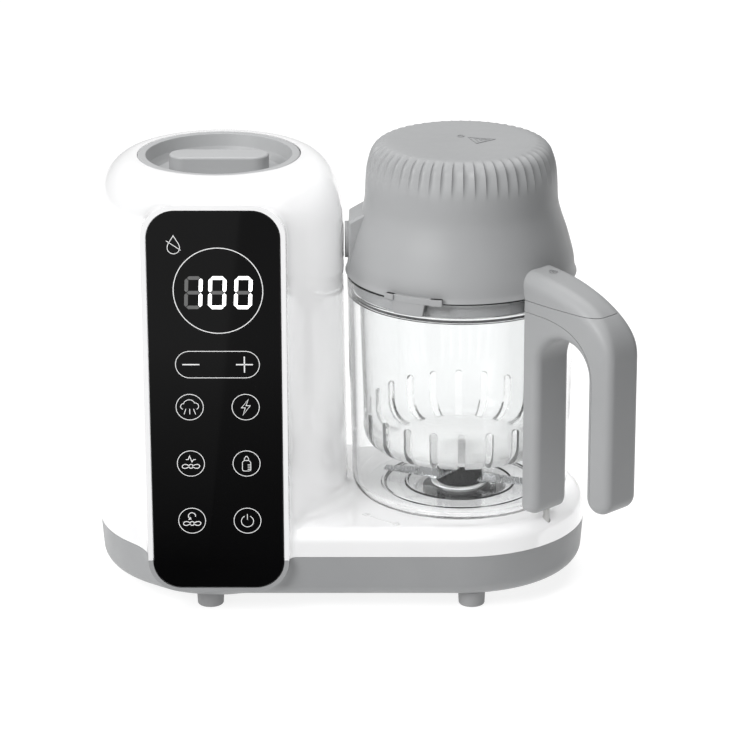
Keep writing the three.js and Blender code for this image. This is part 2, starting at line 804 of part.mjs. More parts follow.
function handleBlank() {
  return acrossSolid(handleOutline(), -HANDLE_W / 2, HANDLE_W / 2, HANDLE_EDGE, 7);
}

// What lies outside the seam between the grip and its cover.
function coverSide(shift) {
  const shape = new THREE.Shape();
  shape.moveTo(50 + shift, 165.6 + shift);
  shape.lineTo(74 + shift, 165.2 + shift);
  shape.bezierCurveTo(92 + shift, 164 + shift, 107.8 + shift, 156 + shift, 107.8 + shift, 134 + shift);
  shape.lineTo(107.8 + shift, 40);
  shape.lineTo(150, 40);
  shape.lineTo(150, 220);
  shape.lineTo(50 + shift, 220);
  shape.closePath();
  return acrossSolid(shape, -20, 20);
}

function rodChannel() {
  return discSolid(2.3, 40, 176, SMALL_STEPS).translate([ROD_REACH, 0, 0]);
}

function handlePiece(side) {
  const below = blockSolid([50, 150], [-20, 20], [40, HANDLE_TOP - GAP / 2]);
  const blank = handleBlank().intersect(below);
  const half = side === "cover" ? blank.intersect(coverSide(0)) : cut(blank, coverSide(-GAP));
  const throat = ringSolid(50, LEG_IN, 40, 180, LARGE_STEPS);
  return cut(half, rodChannel(), throat);
}

place(handlePlace, "handle_grip", "lidGrey", handlePiece("grip"));
place(handlePlace, "handle_cover", "lidGrey", handlePiece("cover"));

// ---------------------------------------------------------------- lid
const LID_OUTLINE = [
  [62, LID_BOTTOM],
  [61, 174.4],
  [60, 182.5],
  [57, 193.8],
  [53, 204.9],
  [51.6, 212],
  [50.7, 227.3],
  [49.9, 232.3],
  [47.7, 238.2],
  [45.2, 241.6],
  [42.5, 243.2],
];
const LID_TOP = 243.6;
const LID_WALL = 2.4;
const BOSS_FACE = 60; // flat face of the steam boss from the jug axis

function lidSolid(inset, low) {
  const outline = LID_OUTLINE.map(([r, z], i) => [
    Math.max(r - inset, 0),
    i === 0 ? low : Math.min(z, LID_TOP - inset),
  ]);
  return turnedSolid([[0, low], ...outline, [0, LID_TOP - inset]]);
}

function steamBoss() {
  const side = new THREE.Shape();
  side.moveTo(-BOSS_FACE, LID_BOTTOM);
  side.lineTo(-40, LID_BOTTOM);
  side.lineTo(-40, 210);
  side.lineTo(-52.4, 206);
  side.lineTo(-BOSS_FACE, 201.8);
  side.closePath();
  return acrossSolid(side, -13, 13);
}

// The arm reaches over the handle and holds the interlock rod down.
function lidArm() {
  const above = blockSolid([50, 150], [-20, 20], [HANDLE_TOP + GAP / 2, 220]);
  return handleBlank().intersect(above);
}

function lidShell() {
  const arm = lidArm().rotate([0, 0, THREE.MathUtils.radToDeg(HANDLE_ANGLE)]);
  const outside = joined(lidSolid(0, LID_BOTTOM), steamBoss(), arm);
  const port = barSolid(STEAM_R + GAP, [-70, 0, STEAM_Z], [-45, 0, STEAM_Z], MEDIUM_STEPS);
  const reach = ringSolid(61.9, 80, 186, 220).intersect(blockSolid([-80, -30], [-30, 30], [180, 230]));
  return cut(outside, lidSolid(LID_WALL, LID_BOTTOM - 1), port, reach);
}

// The seal's outer end is round about the jug axis, so it turns past the tower.
function steamSpigot() {
  const sleeve = cut(
    barSolid(STEAM_R, [-64, 0, STEAM_Z], [-51, 0, STEAM_Z], MEDIUM_STEPS),
    barSolid(4, [-70, 0, STEAM_Z], [-40, 0, STEAM_Z]),
  );
  return sleeve.intersect(discSolid(62.2, 150, 220, 72));
}

function latchTab() {
  const bar = uprightSolid(sector(62.4, 64.6, 231.5, 260.5), 171.9, 175.3);
  const tongue = uprightSolid(sector(62.4, 64.2, 235.5, 251.5), 165, 175);
  const ends = [
    uprightSolid(sector(62.4, 66, 231.5, 236.5), 172.6, 175.3, 3),
    uprightSolid(sector(62.4, 66, 254.5, 260.5), 172, 175.3, 3),
  ];
  return joined(bar, tongue, ...ends);
}

place(jugPlace, "lid_shell", "lidGrey", lidShell());
place(jugPlace, "steam_spigot", "rubber", steamSpigot());
place(jugPlace, "lid_latch_tab", "lidGrey", latchTab());
place(jugPlace, "lid_inner_ring", "grey", ringSolid(55.2, 57.5, 163.7, 175.8, LARGE_STEPS));
place(jugPlace, "lid_gasket", "seal", ringSolid(58.9, 61.2, 171.5, 172.1, LARGE_STEPS));

// ---------------------------------------------------------------- interlock
place(
  handlePlace,
  "interlock_rod",
  "nylon",
  discSolid(2, 52.4, HANDLE_TOP - GAP / 2, SMALL_STEPS).translate([ROD_REACH, 0, 0]),
);
place(
  handlePlace,
  "interlock_plunger",
  "nylon",
  discSolid(1.8, 38.3, 52.1, SMALL_STEPS).translate([ROD_REACH, 0, 0]),
);
place(handlePlace, "interlock_switch", "nylon", blockSolid([54, 64], [-4, 4], [27, 38]));

export default maker;
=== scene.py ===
import math

import bmesh
import bpy
import numpy as np
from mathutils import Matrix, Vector


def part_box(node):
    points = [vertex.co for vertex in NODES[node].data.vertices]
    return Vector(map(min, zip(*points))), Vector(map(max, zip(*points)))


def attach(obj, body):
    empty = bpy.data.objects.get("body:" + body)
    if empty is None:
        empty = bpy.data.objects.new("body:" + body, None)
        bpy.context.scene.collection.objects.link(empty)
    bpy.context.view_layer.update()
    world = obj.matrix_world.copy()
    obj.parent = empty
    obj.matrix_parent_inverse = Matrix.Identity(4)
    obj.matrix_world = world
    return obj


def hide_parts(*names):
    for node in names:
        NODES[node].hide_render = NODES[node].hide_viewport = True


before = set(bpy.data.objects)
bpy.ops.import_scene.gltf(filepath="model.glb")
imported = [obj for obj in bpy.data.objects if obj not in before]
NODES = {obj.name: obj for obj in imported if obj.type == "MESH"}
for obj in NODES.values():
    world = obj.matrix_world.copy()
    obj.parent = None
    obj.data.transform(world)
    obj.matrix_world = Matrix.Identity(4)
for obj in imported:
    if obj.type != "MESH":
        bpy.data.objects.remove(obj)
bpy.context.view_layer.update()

MM = 0.001
GAP = 0.3


# ---- places read from the frame
def low_mm(node):
    return np.array(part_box(node)[0]) / MM


def high_mm(node):
    return np.array(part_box(node)[1]) / MM


def centre_mm(node):
    return (low_mm(node) + high_mm(node)) / 2


JUG_X, JUG_Y = centre_mm("jug")[:2]
TOWER_X, TOWER_Y = centre_mm("tank_cap")[:2]
JUG = (JUG_X, JUG_Y)
TOWER = (TOWER_X, TOWER_Y)
BODY_R = high_mm("upper_housing")[1] - JUG_Y
TRAY_LOW = low_mm("base_tray")[2]
SEAM_Z = low_mm("upper_housing")[2] - GAP / 2
TOWER_TOP = high_mm("tank_cap")[2]
DECK_Z = low_mm("jug")[2] - GAP
JUG_LOW = low_mm("jug")[2]
JUG_TOP = high_mm("jug")[2]
LID_TOP = high_mm("lid_shell")[2]
PANEL_LOW = low_mm("control_panel")
PANEL_HIGH = high_mm("control_panel")
PANEL_FACE = PANEL_LOW[1]
FRAME_FACE = PANEL_FACE - 0.2
HANDLE_ANGLE = -math.pi / 4
ROD_REACH = 64.8
WALL = 2.6

SHOULDER_R = 65.5
SHOULDER_Z = 207.4
SHOULDER_WIDE = 20
SHOULDER_HIGH = TOWER_TOP - SHOULDER_Z
LEAN_FOOT_Z = 38.7
DECK_ROUND = 7
DECK_FILLET = 9


# ---- outlines
def corner_path(corners, segments=5):
    """Points of an open path from (across, up, fillet) corners."""
    points = [corners[0][:2]]
    for before, here, after in zip(corners, corners[1:], corners[2:]):
        fillet = here[2] if len(here) > 2 else 0
        points += fillet_points(before[:2], here[:2], after[:2], fillet, segments)
    points.append(corners[-1][:2])
    return [tuple(map(float, p)) for p in points]


def fillet_points(before, here, after, fillet, segments):
    """A corner replaced by an arc, smaller than asked for where its sides are short."""
    if not fillet:
        return [here]
    here = np.array(here, float)
    back, ahead = np.array(before, float) - here, np.array(after, float) - here
    back_length, ahead_length = np.linalg.norm(back), np.linalg.norm(ahead)
    back, ahead = back / back_length, ahead / ahead_length
    inward = back + ahead
    if np.linalg.norm(inward) < 1e-6:
        return [tuple(here)]
    half = math.acos(np.clip(back @ ahead, -1, 1)) / 2
    reach = min(fillet / math.tan(half), back_length * 0.49, ahead_length * 0.49)
    middle = here + inward / np.linalg.norm(inward) * reach / math.cos(half)
    start, end = here + back * reach - middle, here + ahead * reach - middle
    turn = math.atan2(start[0] * end[1] - start[1] * end[0], start @ end)
    first = math.atan2(start[1], start[0])
    return arc(middle, np.linalg.norm(start), math.degrees(first), math.degrees(first + turn), segments)


def spline_path(points, step):
    """A smooth path through the points, sampled about every step."""
    p = np.array(points, float)
    p = np.vstack([2 * p[0] - p[1], p, 2 * p[-1] - p[-2]])
    found = []
    for a, b, c, d in zip(p, p[1:], p[2:], p[3:]):
        bend, twist = 2 * a - 5 * b + 4 * c - d, 3 * b - a - 3 * c + d
        count = max(1, round(np.linalg.norm(c - b) / step))
        for t in np.arange(count) / count:
            found.append(0.5 * (2 * b + (c - a) * t + bend * t**2 + twist * t**3))
    found.append(p[-2])
    return [tuple(q) for q in found]


def arc(centre, radius, start_deg, end_deg, segments):
    """Points on a circle, as (across, up)."""
    angles = np.radians(np.linspace(start_deg, end_deg, segments + 1))
    return [(centre[0] + radius * math.cos(a), centre[1] + radius * math.sin(a)) for a in angles]


def bezier(points, segments):
    """Points of a quadratic or cubic curve."""
    p = [np.array(q, float) for q in points]
    found = []
    for t in np.linspace(0, 1, segments + 1):
        level = p
        while len(level) > 1:
            level = [a + (b - a) * t for a, b in zip(level, level[1:])]
        found.append(tuple(level[0]))
    return found


# ---- meshes
def mesh_piece(name, points, faces):
    """A Blender object from points in millimetres."""
    mesh = bpy.data.meshes.new(name)
    points = np.asarray(points, float) * MM
    mesh.from_pydata(points.tolist(), [], [tuple(int(i) for i in f) for f in faces])
    mesh.validate()
    piece = bpy.data.objects.new(name, mesh)
    bpy.context.scene.collection.objects.link(piece)
    return piece


def face_out(piece):
    work = bmesh.new()
    work.from_mesh(piece.data)
    bmesh.ops.recalc_face_normals(work, faces=work.faces)
    work.to_mesh(piece.data)
    work.free()
    return piece


def turned(name, outline, steps=96, centre=(0, 0), shift=None):
    """Turns (radius, height) points round an upright axis; shift may move the points of a ring.

    An outline that doesn't begin and end on the axis is a closed section."""
    angles = np.arange(steps) * 2 * math.pi / steps
    points, rings = [], []
    for index, (r, z) in enumerate(outline):
        if r < 1e-6:
            rings.append([len(points)])
            points.append((*centre, z))
            continue
        radii, heights = np.full(steps, float(r)), np.full(steps, float(z))
        if shift:
            radii, heights = shift(index, angles, radii, heights)
        rings.append(range(len(points), len(points) + steps))
        across = centre[0] + radii * np.cos(angles)
        along = centre[1] + radii * np.sin(angles)
        points += list(zip(across, along, heights))
    if max(len(rings[0]), len(rings[-1])) > 1:
        rings.append(rings[0])
    faces = []
    for low, high in zip(rings, rings[1:]):
        for j in range(steps):
            k = (j + 1) % steps
            corners = (low[j % len(low)], low[k % len(low)], high[k % len(high)], high[j % len(high)])
            distinct = tuple(dict.fromkeys(corners))
            if len(distinct) > 2:
                faces.append(distinct)
    return face_out(mesh_piece(name, points, faces))


def stacked(name, outline, rows, centre=(0, 0), turn=0.0):
    """An upright solid from an (x, y) outline repeated at each (height, inset) row."""
    outline = np.array(outline, float)
    cos, sin = math.cos(turn), math.sin(turn)
    count = len(outline)
    points, rings = [], []
    for z, inset in rows:
        rings.append(range(len(points), len(points) + count))
        for x, y in inset_outline(outline, inset):
            points.append((centre[0] + x * cos - y * sin, centre[1] + x * sin + y * cos, z))
    faces = [tuple(reversed(rings[0])), tuple(rings[-1])]
    for a, b in zip(rings, rings[1:]):
        faces += [(a[i], a[(i + 1) % count], b[(i + 1) % count], b[i]) for i in range(count)]
    return face_out(mesh_piece(name, points, faces))


def prism(name, outline, low, high, centre=(0, 0), turn=0.0, edge=0):
    """An upright solid from an (x, y) outline, with its rims cut back by edge."""
    rows = [(low, edge), (low + edge, 0), (high - edge, 0), (high, edge)]
    return stacked(name, outline, rows if edge else [(low, 0), (high, 0)], centre, turn)


def unit_rows(rows):
    return rows / (np.linalg.norm(rows, axis=1)[:, None] + 1e-9)


def left_of(rows):
    """Each direction, turned a quarter to the left."""
    return np.stack([-rows[:, 1], rows[:, 0]], 1)


def inset_outline(outline, inset):
    """A closed outline moved inwards along its corner normals."""
    if not inset:
        return outline
    before, after = np.roll(outline, 1, 0), np.roll(outline, -1, 0)
    normal = left_of(unit_rows(unit_rows(outline - before) + unit_rows(after - outline)))
    area = np.sum(outline[:, 0] * after[:, 1] - after[:, 0] * outline[:, 1])
    return outline + normal * inset * np.sign(area)


def plate(name, outline, front, back, edge=0):
    """A solid with an (x, z) outline between two Y planes."""
    piece = prism(name, outline, front, back, edge=edge)
    for v in piece.data.vertices:
        v.co = v.co.xzy
    piece.data.flip_normals()
    return piece


def block(name, low, high):
    outline = [(low[0], low[1]), (high[0], low[1]), (high[0], high[1]), (low[0], high[1])]
    return prism(name, outline, low[2], high[2])


def disc(name, radius, low, high, centre, steps=96):
    return turned(name, [(0, low), (radius, low), (radius, high), (0, high)], steps, centre)


def rod_along(name, radius, start, direction, length, steps=48):
    """A round bar from a point along a level direction."""
    piece = disc(name, radius, 0, length, (0, 0), steps)
    piece.data.transform(Vector((0, 0, 1)).rotation_difference(Vector(direction)).to_matrix().to_4x4())
    for v in piece.data.vertices:
        v.co += Vector(start) * MM
    return piece


def rounded_rectangle(half_wide, low, high, corner, centre_x=0.0, segments=10):
    left, right = centre_x - half_wide + corner, centre_x + half_wide - corner
    return (
        arc((right, high - corner), corner, 0, 90, segments)
        + arc((left, high - corner), corner, 90, 180, segments)
        + arc((left, low + corner), corner, 180, 270, segments)
        + arc((right, low + corner), corner, 270, 360, segments)
    )


def remove_piece(piece):
    mesh = piece.data
    bpy.data.objects.remove(piece)
    bpy.data.meshes.remove(mesh)


def settle_modifiers(piece):
    bpy.context.view_layer.update()
    graph = bpy.context.evaluated_depsgraph_get()
    made = bpy.data.meshes.new_from_object(piece.evaluated_get(graph))
    piece.modifiers.clear()
    old = piece.data
    piece.data = made
    bpy.data.meshes.remove(old)
    return piece


def combine(piece, tools, operation):
    for tool in tools:
        modifier = piece.modifiers.new("combine", "BOOLEAN")
        modifier.operation = operation
        modifier.solver = "MANIFOLD"
        modifier.object = tool
    settle_modifiers(piece)
    for tool in tools:
        remove_piece(tool)
    return piece


def carve(piece, *tools):
    return combine(piece, tools, "DIFFERENCE")


def weld(piece, *tools):
    return combine(piece, tools, "UNION")


def keep_common(piece, *tools):
    return combine(piece, tools, "INTERSECT")


def copy_of(piece, name):
    twin = bpy.data.objects.new(name, piece.data.copy())
    bpy.context.scene.collection.objects.link(twin)
    return twin


def finish_piece(piece, material, body, nodes=(), sharp_deg=32):
    """Smooth shading with crisp edges, its material, its body, and the CAD nodes it stands for."""
    mesh = piece.data
    mesh.shade_smooth()
    mesh.set_sharp_from_angle(angle=math.radians(sharp_deg))
    mesh.materials.clear()
    mesh.materials.append(material)
    even = piece.modifiers.new("even_normals", "WEIGHTED_NORMAL")
    even.keep_sharp = True
    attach(piece, body)
    if nodes:
        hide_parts(*nodes)
    return piece


def gather(name, pieces):
    """Several meshes as one object."""
    points, faces = [], []
    for piece in pieces:
        base = len(points)
        points += [v.co / MM for v in piece.data.vertices]
        faces += [tuple(base + i for i in p.vertices) for p in piece.data.polygons]
        remove_piece(piece)
    return mesh_piece(name, points, faces)


# ---- distance fields
def smooth_union(a, b, reach):
    share = np.maximum(reach - np.abs(a - b), 0) / reach
    return np.minimum(a, b) - share * share * reach / 4


def rounded_meet(a, b, radius):
    """The solid inside both fields, with a rounded edge where they meet."""
    corner = np.hypot(np.maximum(a + radius, 0), np.maximum(b + radius, 0))
    return corner - radius + np.minimum(np.maximum(a + radius, b + radius), 0)


def domed(across, up, wide, high):
    """Distance to a wall with an elliptical shoulder; across and up start at its centre."""
    u = np.maximum(across, 0) / wide
    v = np.maximum(up, 0) / high
    k = np.hypot(u, v) + 1e-9
    return k * (k - 1) / (np.hypot(u / wide, v / high) + 1e-9)


def smoothstep(value, start, end):
    t = np.clip((value - start) / (end - start), 0, 1)
    return t * t * (3 - 2 * t)


def outline_field(outline, across, up):
    """Signed distance to a closed outline, negative inside."""
    outline = np.array(outline, float)
    nearest = np.full(np.broadcast(across, up).shape, 1e9)
    inside = np.zeros(nearest.shape, bool)
    for (x0, y0), (x1, y1) in zip(outline, np.roll(outline, -1, 0)):
        dx, dy = x1 - x0, y1 - y0
        t = np.clip(((across - x0) * dx + (up - y0) * dy) / (dx * dx + dy * dy + 1e-12), 0, 1)
        nearest = np.minimum(nearest, np.hypot(across - x0 - t * dx, up - y0 - t * dy))
        if dy:
            crosses = (y0 > up) != (y1 > up)
            inside ^= crosses & (across < dx * (up - y0) / dy + x0)
    return np.where(inside, -nearest, nearest)


def net_piece(name, field, low, high, pitch):
    """A mesh wrapped round the solid where field(x, y, z) is negative."""
    axes = [np.arange(a, b + pitch, pitch) for a, b in zip(low, high)]
    shape = [len(a) for a in axes]
    value = np.broadcast_to(field(*np.meshgrid(*axes, indexing="ij", sparse=True)), shape)
    cells = [n - 1 for n in shape]
    total, count = np.zeros([*cells, 3]), np.zeros(cells)
    crossings = []
    for axis in range(3):
        first = np.take(value, range(shape[axis] - 1), axis)
        second = np.take(value, range(1, shape[axis]), axis)
        at = np.argwhere((first < 0) != (second < 0))
        a, b = first[tuple(at.T)], second[tuple(at.T)]
        place = at.astype(float)
        place[:, axis] += a / (a - b)
        around = []
        for step in ((-1, -1), (0, -1), (0, 0), (-1, 0)):
            cell = at.copy()
            cell[:, [(axis + 1) % 3, (axis + 2) % 3]] += step
            cell = tuple(cell.T)
            around.append(cell)
            np.add.at(total, cell, place)
            np.add.at(count, cell, 1)
        crossings.append((around, a < 0))
    used = count > 0
    index = np.full(cells, -1)
    index[used] = np.arange(used.sum())
    points = np.array(low, float) + pitch * total[used] / count[used][:, None]
    faces = []
    for around, rising in crossings:
        quad = np.stack([index[cell] for cell in around], 1)
        faces.append(np.where(rising[:, None], quad, quad[:, ::-1]))
    faces = np.vstack(faces)
    return mesh_piece(name, relaxed(field, points, faces), faces)


def relaxed(field, points, faces, rounds=3):
    """Evens the mesh out and pulls each point back onto the surface."""
    ends = np.vstack([faces[:, [i, (i + 1) % 4]] for i in range(4)])
    degree = np.zeros(len(points))
    np.add.at(degree, ends[:, 0], 1)
    np.add.at(degree, ends[:, 1], 1)
    for _ in range(rounds):
        total = np.zeros_like(points)
        np.add.at(total, ends[:, 0], points[ends[:, 1]])
        np.add.at(total, ends[:, 1], points[ends[:, 0]])
        points = onto_surface(field, 0.5 * points + 0.5 * total / degree[:, None], 2)
    return onto_surface(field, points, 3)


def onto_surface(field, points, rounds):
    h = 0.02
    for _ in range(rounds):
        slope = []
        for nudge in np.eye(3) * h:
            slope.append((field(*(points + nudge).T) - field(*(points - nudge).T)) / (2 * h))
        slope = np.stack(slope, 1)
        size = np.sum(slope * slope, 1) + 1e-6
        step = slope * (field(*points.T) / size)[:, None]
        points = points - np.clip(step, -1.5, 1.5)
    return points


# ---- materials
def set_inputs(tree, node, **inputs):
    """Sets a node's inputs by name: a socket is linked, anything else is a constant."""
    for name, value in inputs.items():
        socket = node.inputs[name.replace("_", " ")]
        if isinstance(value, bpy.types.NodeSocket):
            tree.links.new(value, socket)
        else:
            socket.default_value = (*value, 1) if socket.type == "RGBA" else value


def add_node(tree, kind, **inputs):
    node = tree.nodes.new(f"ShaderNode{kind}")
    set_inputs(tree, node, **inputs)
    return node


def new_material(name, kind="BsdfPrincipled"):
    material = bpy.data.materials.new(name)
    material.use_nodes = True
    tree = material.node_tree
    tree.nodes.clear()
    shader = add_node(tree, kind)
    add_node(tree, "OutputMaterial", Surface=shader.outputs[0])
    return material, tree, shader


def own_place(tree):
    """Where a point is in the piece's own space, in metres."""
    return add_node(tree, "TexCoord").outputs["Object"]


def noise(tree, scale, detail=2.0, stretch=None):
    """A noise texture; scale is in ripples per metre."""
    place = own_place(tree)
    if stretch:
        place = add_node(tree, "Mapping", Vector=place, Scale=stretch).outputs[0]
    return add_node(tree, "TexNoise", Vector=place, Scale=scale, Detail=detail).outputs[0]


def spread(tree, value, low, high, start=0.3, end=0.7):
    """Maps a value that goes from start to end to the range from low to high."""
    limits = {"From_Min": start, "From_Max": end, "To_Min": low, "To_Max": high}
    return add_node(tree, "MapRange", Value=value, **limits).outputs[0]


def tint(tree, value, first, second):
    """Blends two colours as a value goes from 0.3 to 0.7."""
    ramp = add_node(tree, "ValToRGB")
    for stop, place, colour in zip(ramp.color_ramp.elements, (0.3, 0.7), (first, second)):
        stop.position = place
        stop.color = (*colour, 1)
    tree.links.new(value, ramp.inputs[0])
    return ramp.outputs[0]


def bump(tree, shader, *layers):
    """Adds surface relief in layers of (height, depth in metres)."""
    under = {}
    for height, depth in layers:
        node = add_node(tree, "Bump", Strength=1, Height=height, Distance=depth, **under)
        under = {"Normal": node.outputs[0]}
    set_inputs(tree, shader, **under)


def moulded(name, colour, shade, rough, grain_scale, grain_depth, specular=0.5, coat=0.0):
    """Injection moulded plastic: slight colour drift, uneven gloss, fine mould grain and faint flow."""
    material, tree, shader = new_material(name)
    drift = tint(tree, noise(tree, 18, 3), colour, shade)
    gloss = spread(tree, noise(tree, 130, 4), *rough)
    set_inputs(tree, shader, Base_Color=drift, Roughness=gloss, Specular_IOR_Level=specular)
    set_inputs(tree, shader, Coat_Weight=coat, Coat_Roughness=0.06)
    flow = noise(tree, 26, 1, stretch=(1, 1, 0.35))
    bump(tree, shader, (flow, grain_depth * 2), (noise(tree, grain_scale), grain_depth))
    return material


def clear_plastic(name, rough, tone=(0.985, 0.99, 0.99), index=1.47):
    """Clear copolyester: faint haze, hairline scratches and slow waves from the mould."""
    material, tree, shader = new_material(name)
    haze = spread(tree, noise(tree, 60, 3), *rough)
    set_inputs(tree, shader, Base_Color=tone, Roughness=haze, Transmission_Weight=1, IOR=index)
    scratches = noise(tree, 500, 2, stretch=(1, 1, 0.06))
    bump(tree, shader, (noise(tree, 20, 1), 0.0004), (scratches, 0.000004))
    return material


def frosted_plastic(name):
    """Clear copolyester, polished above and satin toward the foot and the front of the basket."""
    material = clear_plastic(name, (0.05, 0.05), (0.975, 0.98, 0.98), 1.32)
    tree = material.node_tree
    split = add_node(tree, "SeparateXYZ", Vector=own_place(tree))
    rise = add_node(tree, "Math")
    rise.operation = "MULTIPLY_ADD"
    rise.inputs[1].default_value = 0.3
    tree.links.new(split.outputs["Y"], rise.inputs[0])
    tree.links.new(split.outputs["Z"], rise.inputs[2])
    fade = spread(tree, rise.outputs[0], 0, 1, 0.096, 0.076)
    rough = spread(tree, fade, 0.05, 0.2, 0, 1)
    clear = spread(tree, fade, 1, 0.76, 0, 1)
    set_inputs(tree, tree.nodes["Principled BSDF"], Roughness=rough, Transmission_Weight=clear)
    return material


def metal(name, colour, shade, rough, stretch):
    """Metal with a brushed or cast grain."""
    material, tree, shader = new_material(name)
    grain = noise(tree, 900, 3, stretch=stretch)
    drift = tint(tree, noise(tree, 90, 3), colour, shade)
    set_inputs(tree, shader, Base_Color=drift, Roughness=spread(tree, grain, *rough), Metallic=1)
    bump(tree, shader, (grain, 0.00001))
    return material


def glossy_black(name):
    """Back-printed black acrylic: deep gloss with faint smears and slow ripple."""
    material, tree, shader = new_material(name)
    ink = tint(tree, noise(tree, 12, 1), (0.0012, 0.0012, 0.0013), (0.002, 0.002, 0.0022))
    smears = spread(tree, noise(tree, 35, 4, stretch=(1, 1, 0.3)), 0.02, 0.07)
    set_inputs(tree, shader, Base_Color=ink, Roughness=smears)
    bump(tree, shader, (noise(tree, 9, 1), 0.00002))
    return material


def printed(name, colour, glow):
    """White screen print or a lit display segment, with slightly uneven ink."""
    material, tree, shader = new_material(name)
    ink = tint(tree, noise(tree, 900), [c * 0.86 for c in colour], colour)
    gloss = spread(tree, noise(tree, 1500), 0.35, 0.5)
    set_inputs(tree, shader, Base_Color=ink, Roughness=gloss, Emission_Color=ink, Emission_Strength=glow)
    return material


def circuit(name):
    """Green solder mask over faint square tracks."""
    material, tree, shader = new_material(name)
    tracks = noise(tree, 420, 0, stretch=(1, 0.2, 1))
    mask = tint(tree, tracks, (0.012, 0.1, 0.04), (0.03, 0.2, 0.08))
    set_inputs(tree, shader, Base_Color=mask, Roughness=spread(tree, noise(tree, 300), 0.3, 0.5))
    bump(tree, shader, (tracks, 0.00005))
    return material


def floor_material():
    """A studio sweep that glows a little, so that it stays white."""
    material, tree, shader = new_material("floor")
    shade = tint(tree, noise(tree, 3), (0.3, 0.3, 0.3), (0.31, 0.31, 0.31))
    rough = spread(tree, noise(tree, 40), 0.55, 0.7)
    set_inputs(tree, shader, Base_Color=shade, Roughness=rough, Specular_IOR_Level=0.1)
    set_inputs(tree, shader, Emission_Color=(1, 1, 1), Emission_Strength=0.8)
    return material


def mirror_card_material(brightest):
    """A grey that deepens toward the product, for the glossy faces to mirror."""
    material, tree, glow = new_material("mirror_card", "Emission")
    split = add_node(tree, "SeparateXYZ", Vector=own_place(tree))
    set_inputs(tree, glow, Strength=spread(tree, split.outputs["Y"], 0.02, brightest, -0.13, -0.5))
    return material


SATIN_GRAIN = (2600, 0.000012)
LID_GLOSS = (0.38, 0.47)
WHITE = moulded("white_gloss", (0.665, 0.665, 0.67), (0.69, 0.69, 0.693), (0.1, 0.17), 700, 2e-6, coat=1)
GREY = moulded("grey_satin", (0.255, 0.259, 0.264), (0.275, 0.279, 0.283), (0.36, 0.46), *SATIN_GRAIN, 0.4)
LID_GREY = moulded("lid_satin", (0.288, 0.292, 0.296), (0.306, 0.31, 0.314), LID_GLOSS, *SATIN_GRAIN, 0.35)
PALE_NYLON = moulded("pale_nylon", (0.5, 0.5, 0.49), (0.56, 0.56, 0.55), (0.35, 0.5), 2200, 0.00002, 0.4)
# Painted light: the lid's grey and gloss made lighter, so that the cap on top reads brighter than the lid.
CAP_GREY_PAINTED_LIGHT = moulded("cap_satin_painted_light", (0.345, 0.35, 0.354), (0.37, 0.374, 0.378), LID_GLOSS, *SATIN_GRAIN, 0.35)
RUBBER = moulded("rubber", (0.25, 0.252, 0.256), (0.29, 0.292, 0.295), (0.6, 0.75), 1800, 0.00004, 0.25)
SEAL = moulded("dark_seal", (0.03, 0.031, 0.033), (0.042, 0.043, 0.045), (0.5, 0.62), 1800, 0.00003, 0.3)
SILICONE = moulded("silicone", (0.62, 0.63, 0.635), (0.68, 0.69, 0.69), (0.4, 0.52), 1500, 0.00002, 0.35)
NYLON = moulded("black_nylon", (0.006, 0.006, 0.007), (0.01, 0.01, 0.011), (0.2, 0.3), 2200, 0.00001, 0.18)
PANEL_BLACK = glossy_black("panel_black")
PRINT = printed("print_white", (0.72, 0.72, 0.72), 0.12)
DIGIT_LIT = printed("digit_lit", (1, 1, 1), 1.6)
DIGIT_DIM = printed("digit_dim", (0.1, 0.1, 0.1), 0.35)
CLEAR_JUG = clear_plastic("clear_jug", (0.0, 0.015), (0.965, 0.97, 0.97), 1.52)
CLEAR_BASKET = frosted_plastic("frosted_basket")
# Painted shade: a dark grey clear material for the side faces of the front slots, where the openings look
# dark.
SLOT_PAINTED_SHADE = clear_plastic("slot_painted_shade", (0.25, 0.35), (0.3, 0.303, 0.306), 1.45)
CLEAR_TANK = clear_plastic("clear_tank", (0.05, 0.15))
STEEL = metal("steel", (0.55, 0.56, 0.57), (0.66, 0.67, 0.68), (0.16, 0.32), (1, 0.05, 1))
BRASS = metal("brass", (0.45, 0.3, 0.1), (0.55, 0.38, 0.14), (0.3, 0.45), (1, 1, 1))
ALLOY = metal("alloy", (0.42, 0.43, 0.44), (0.5, 0.51, 0.52), (0.4, 0.55), (1, 1, 1))
BOARD = circuit("circuit_board")


# ---- body casing
def tower_radius(z):
    """Radius of the tower's leaning wall at a height."""
    lean = (BODY_R - SHOULDER_R) / (SHOULDER_Z - LEAN_FOOT_Z)
    return np.minimum(SHOULDER_R + (SHOULDER_Z - z) * lean, BODY_R)


def tower_field(x, y, z):
    r = np.hypot(x - TOWER_X, y - TOWER_Y)
    dome = domed(r - (SHOULDER_R - SHOULDER_WIDE), z - SHOULDER_Z, SHOULDER_WIDE, SHOULDER_HIGH)
    return np.where(z < SHOULDER_Z, r - tower_radius(z), dome)


def core_distance(x, y):
    """Distance from the body's long axis between the tower axis and the jug axis."""
    beyond = np.maximum(np.abs(x - (JUG_X + TOWER_X) / 2) - (JUG_X - TOWER_X) / 2, 0)
    return np.hypot(beyond, y - JUG_Y)


def deck_field(x, y, z):
    return rounded_meet(core_distance(x, y) - BODY_R, z - DECK_Z, DECK_ROUND)


TRAY_CORNER_R = 58.6
TRAY_CORNER_Z = 17.5
TRAY_CORNER_WIDE = 8.2
TRAY_LEAN = 0.077


def tray_field(x, y, z):
    s = core_distance(x, y)
    lean = (BODY_R - TRAY_CORNER_R - TRAY_CORNER_WIDE) / (SEAM_Z - TRAY_CORNER_Z)
    side = s - (TRAY_CORNER_R + TRAY_CORNER_WIDE + (z - TRAY_CORNER_Z) * lean)
    dome = domed(s - TRAY_CORNER_R, TRAY_CORNER_Z - z, TRAY_CORNER_WIDE, TRAY_CORNER_Z - TRAY_LOW)
    return np.where(z > TRAY_CORNER_Z, side, dome)


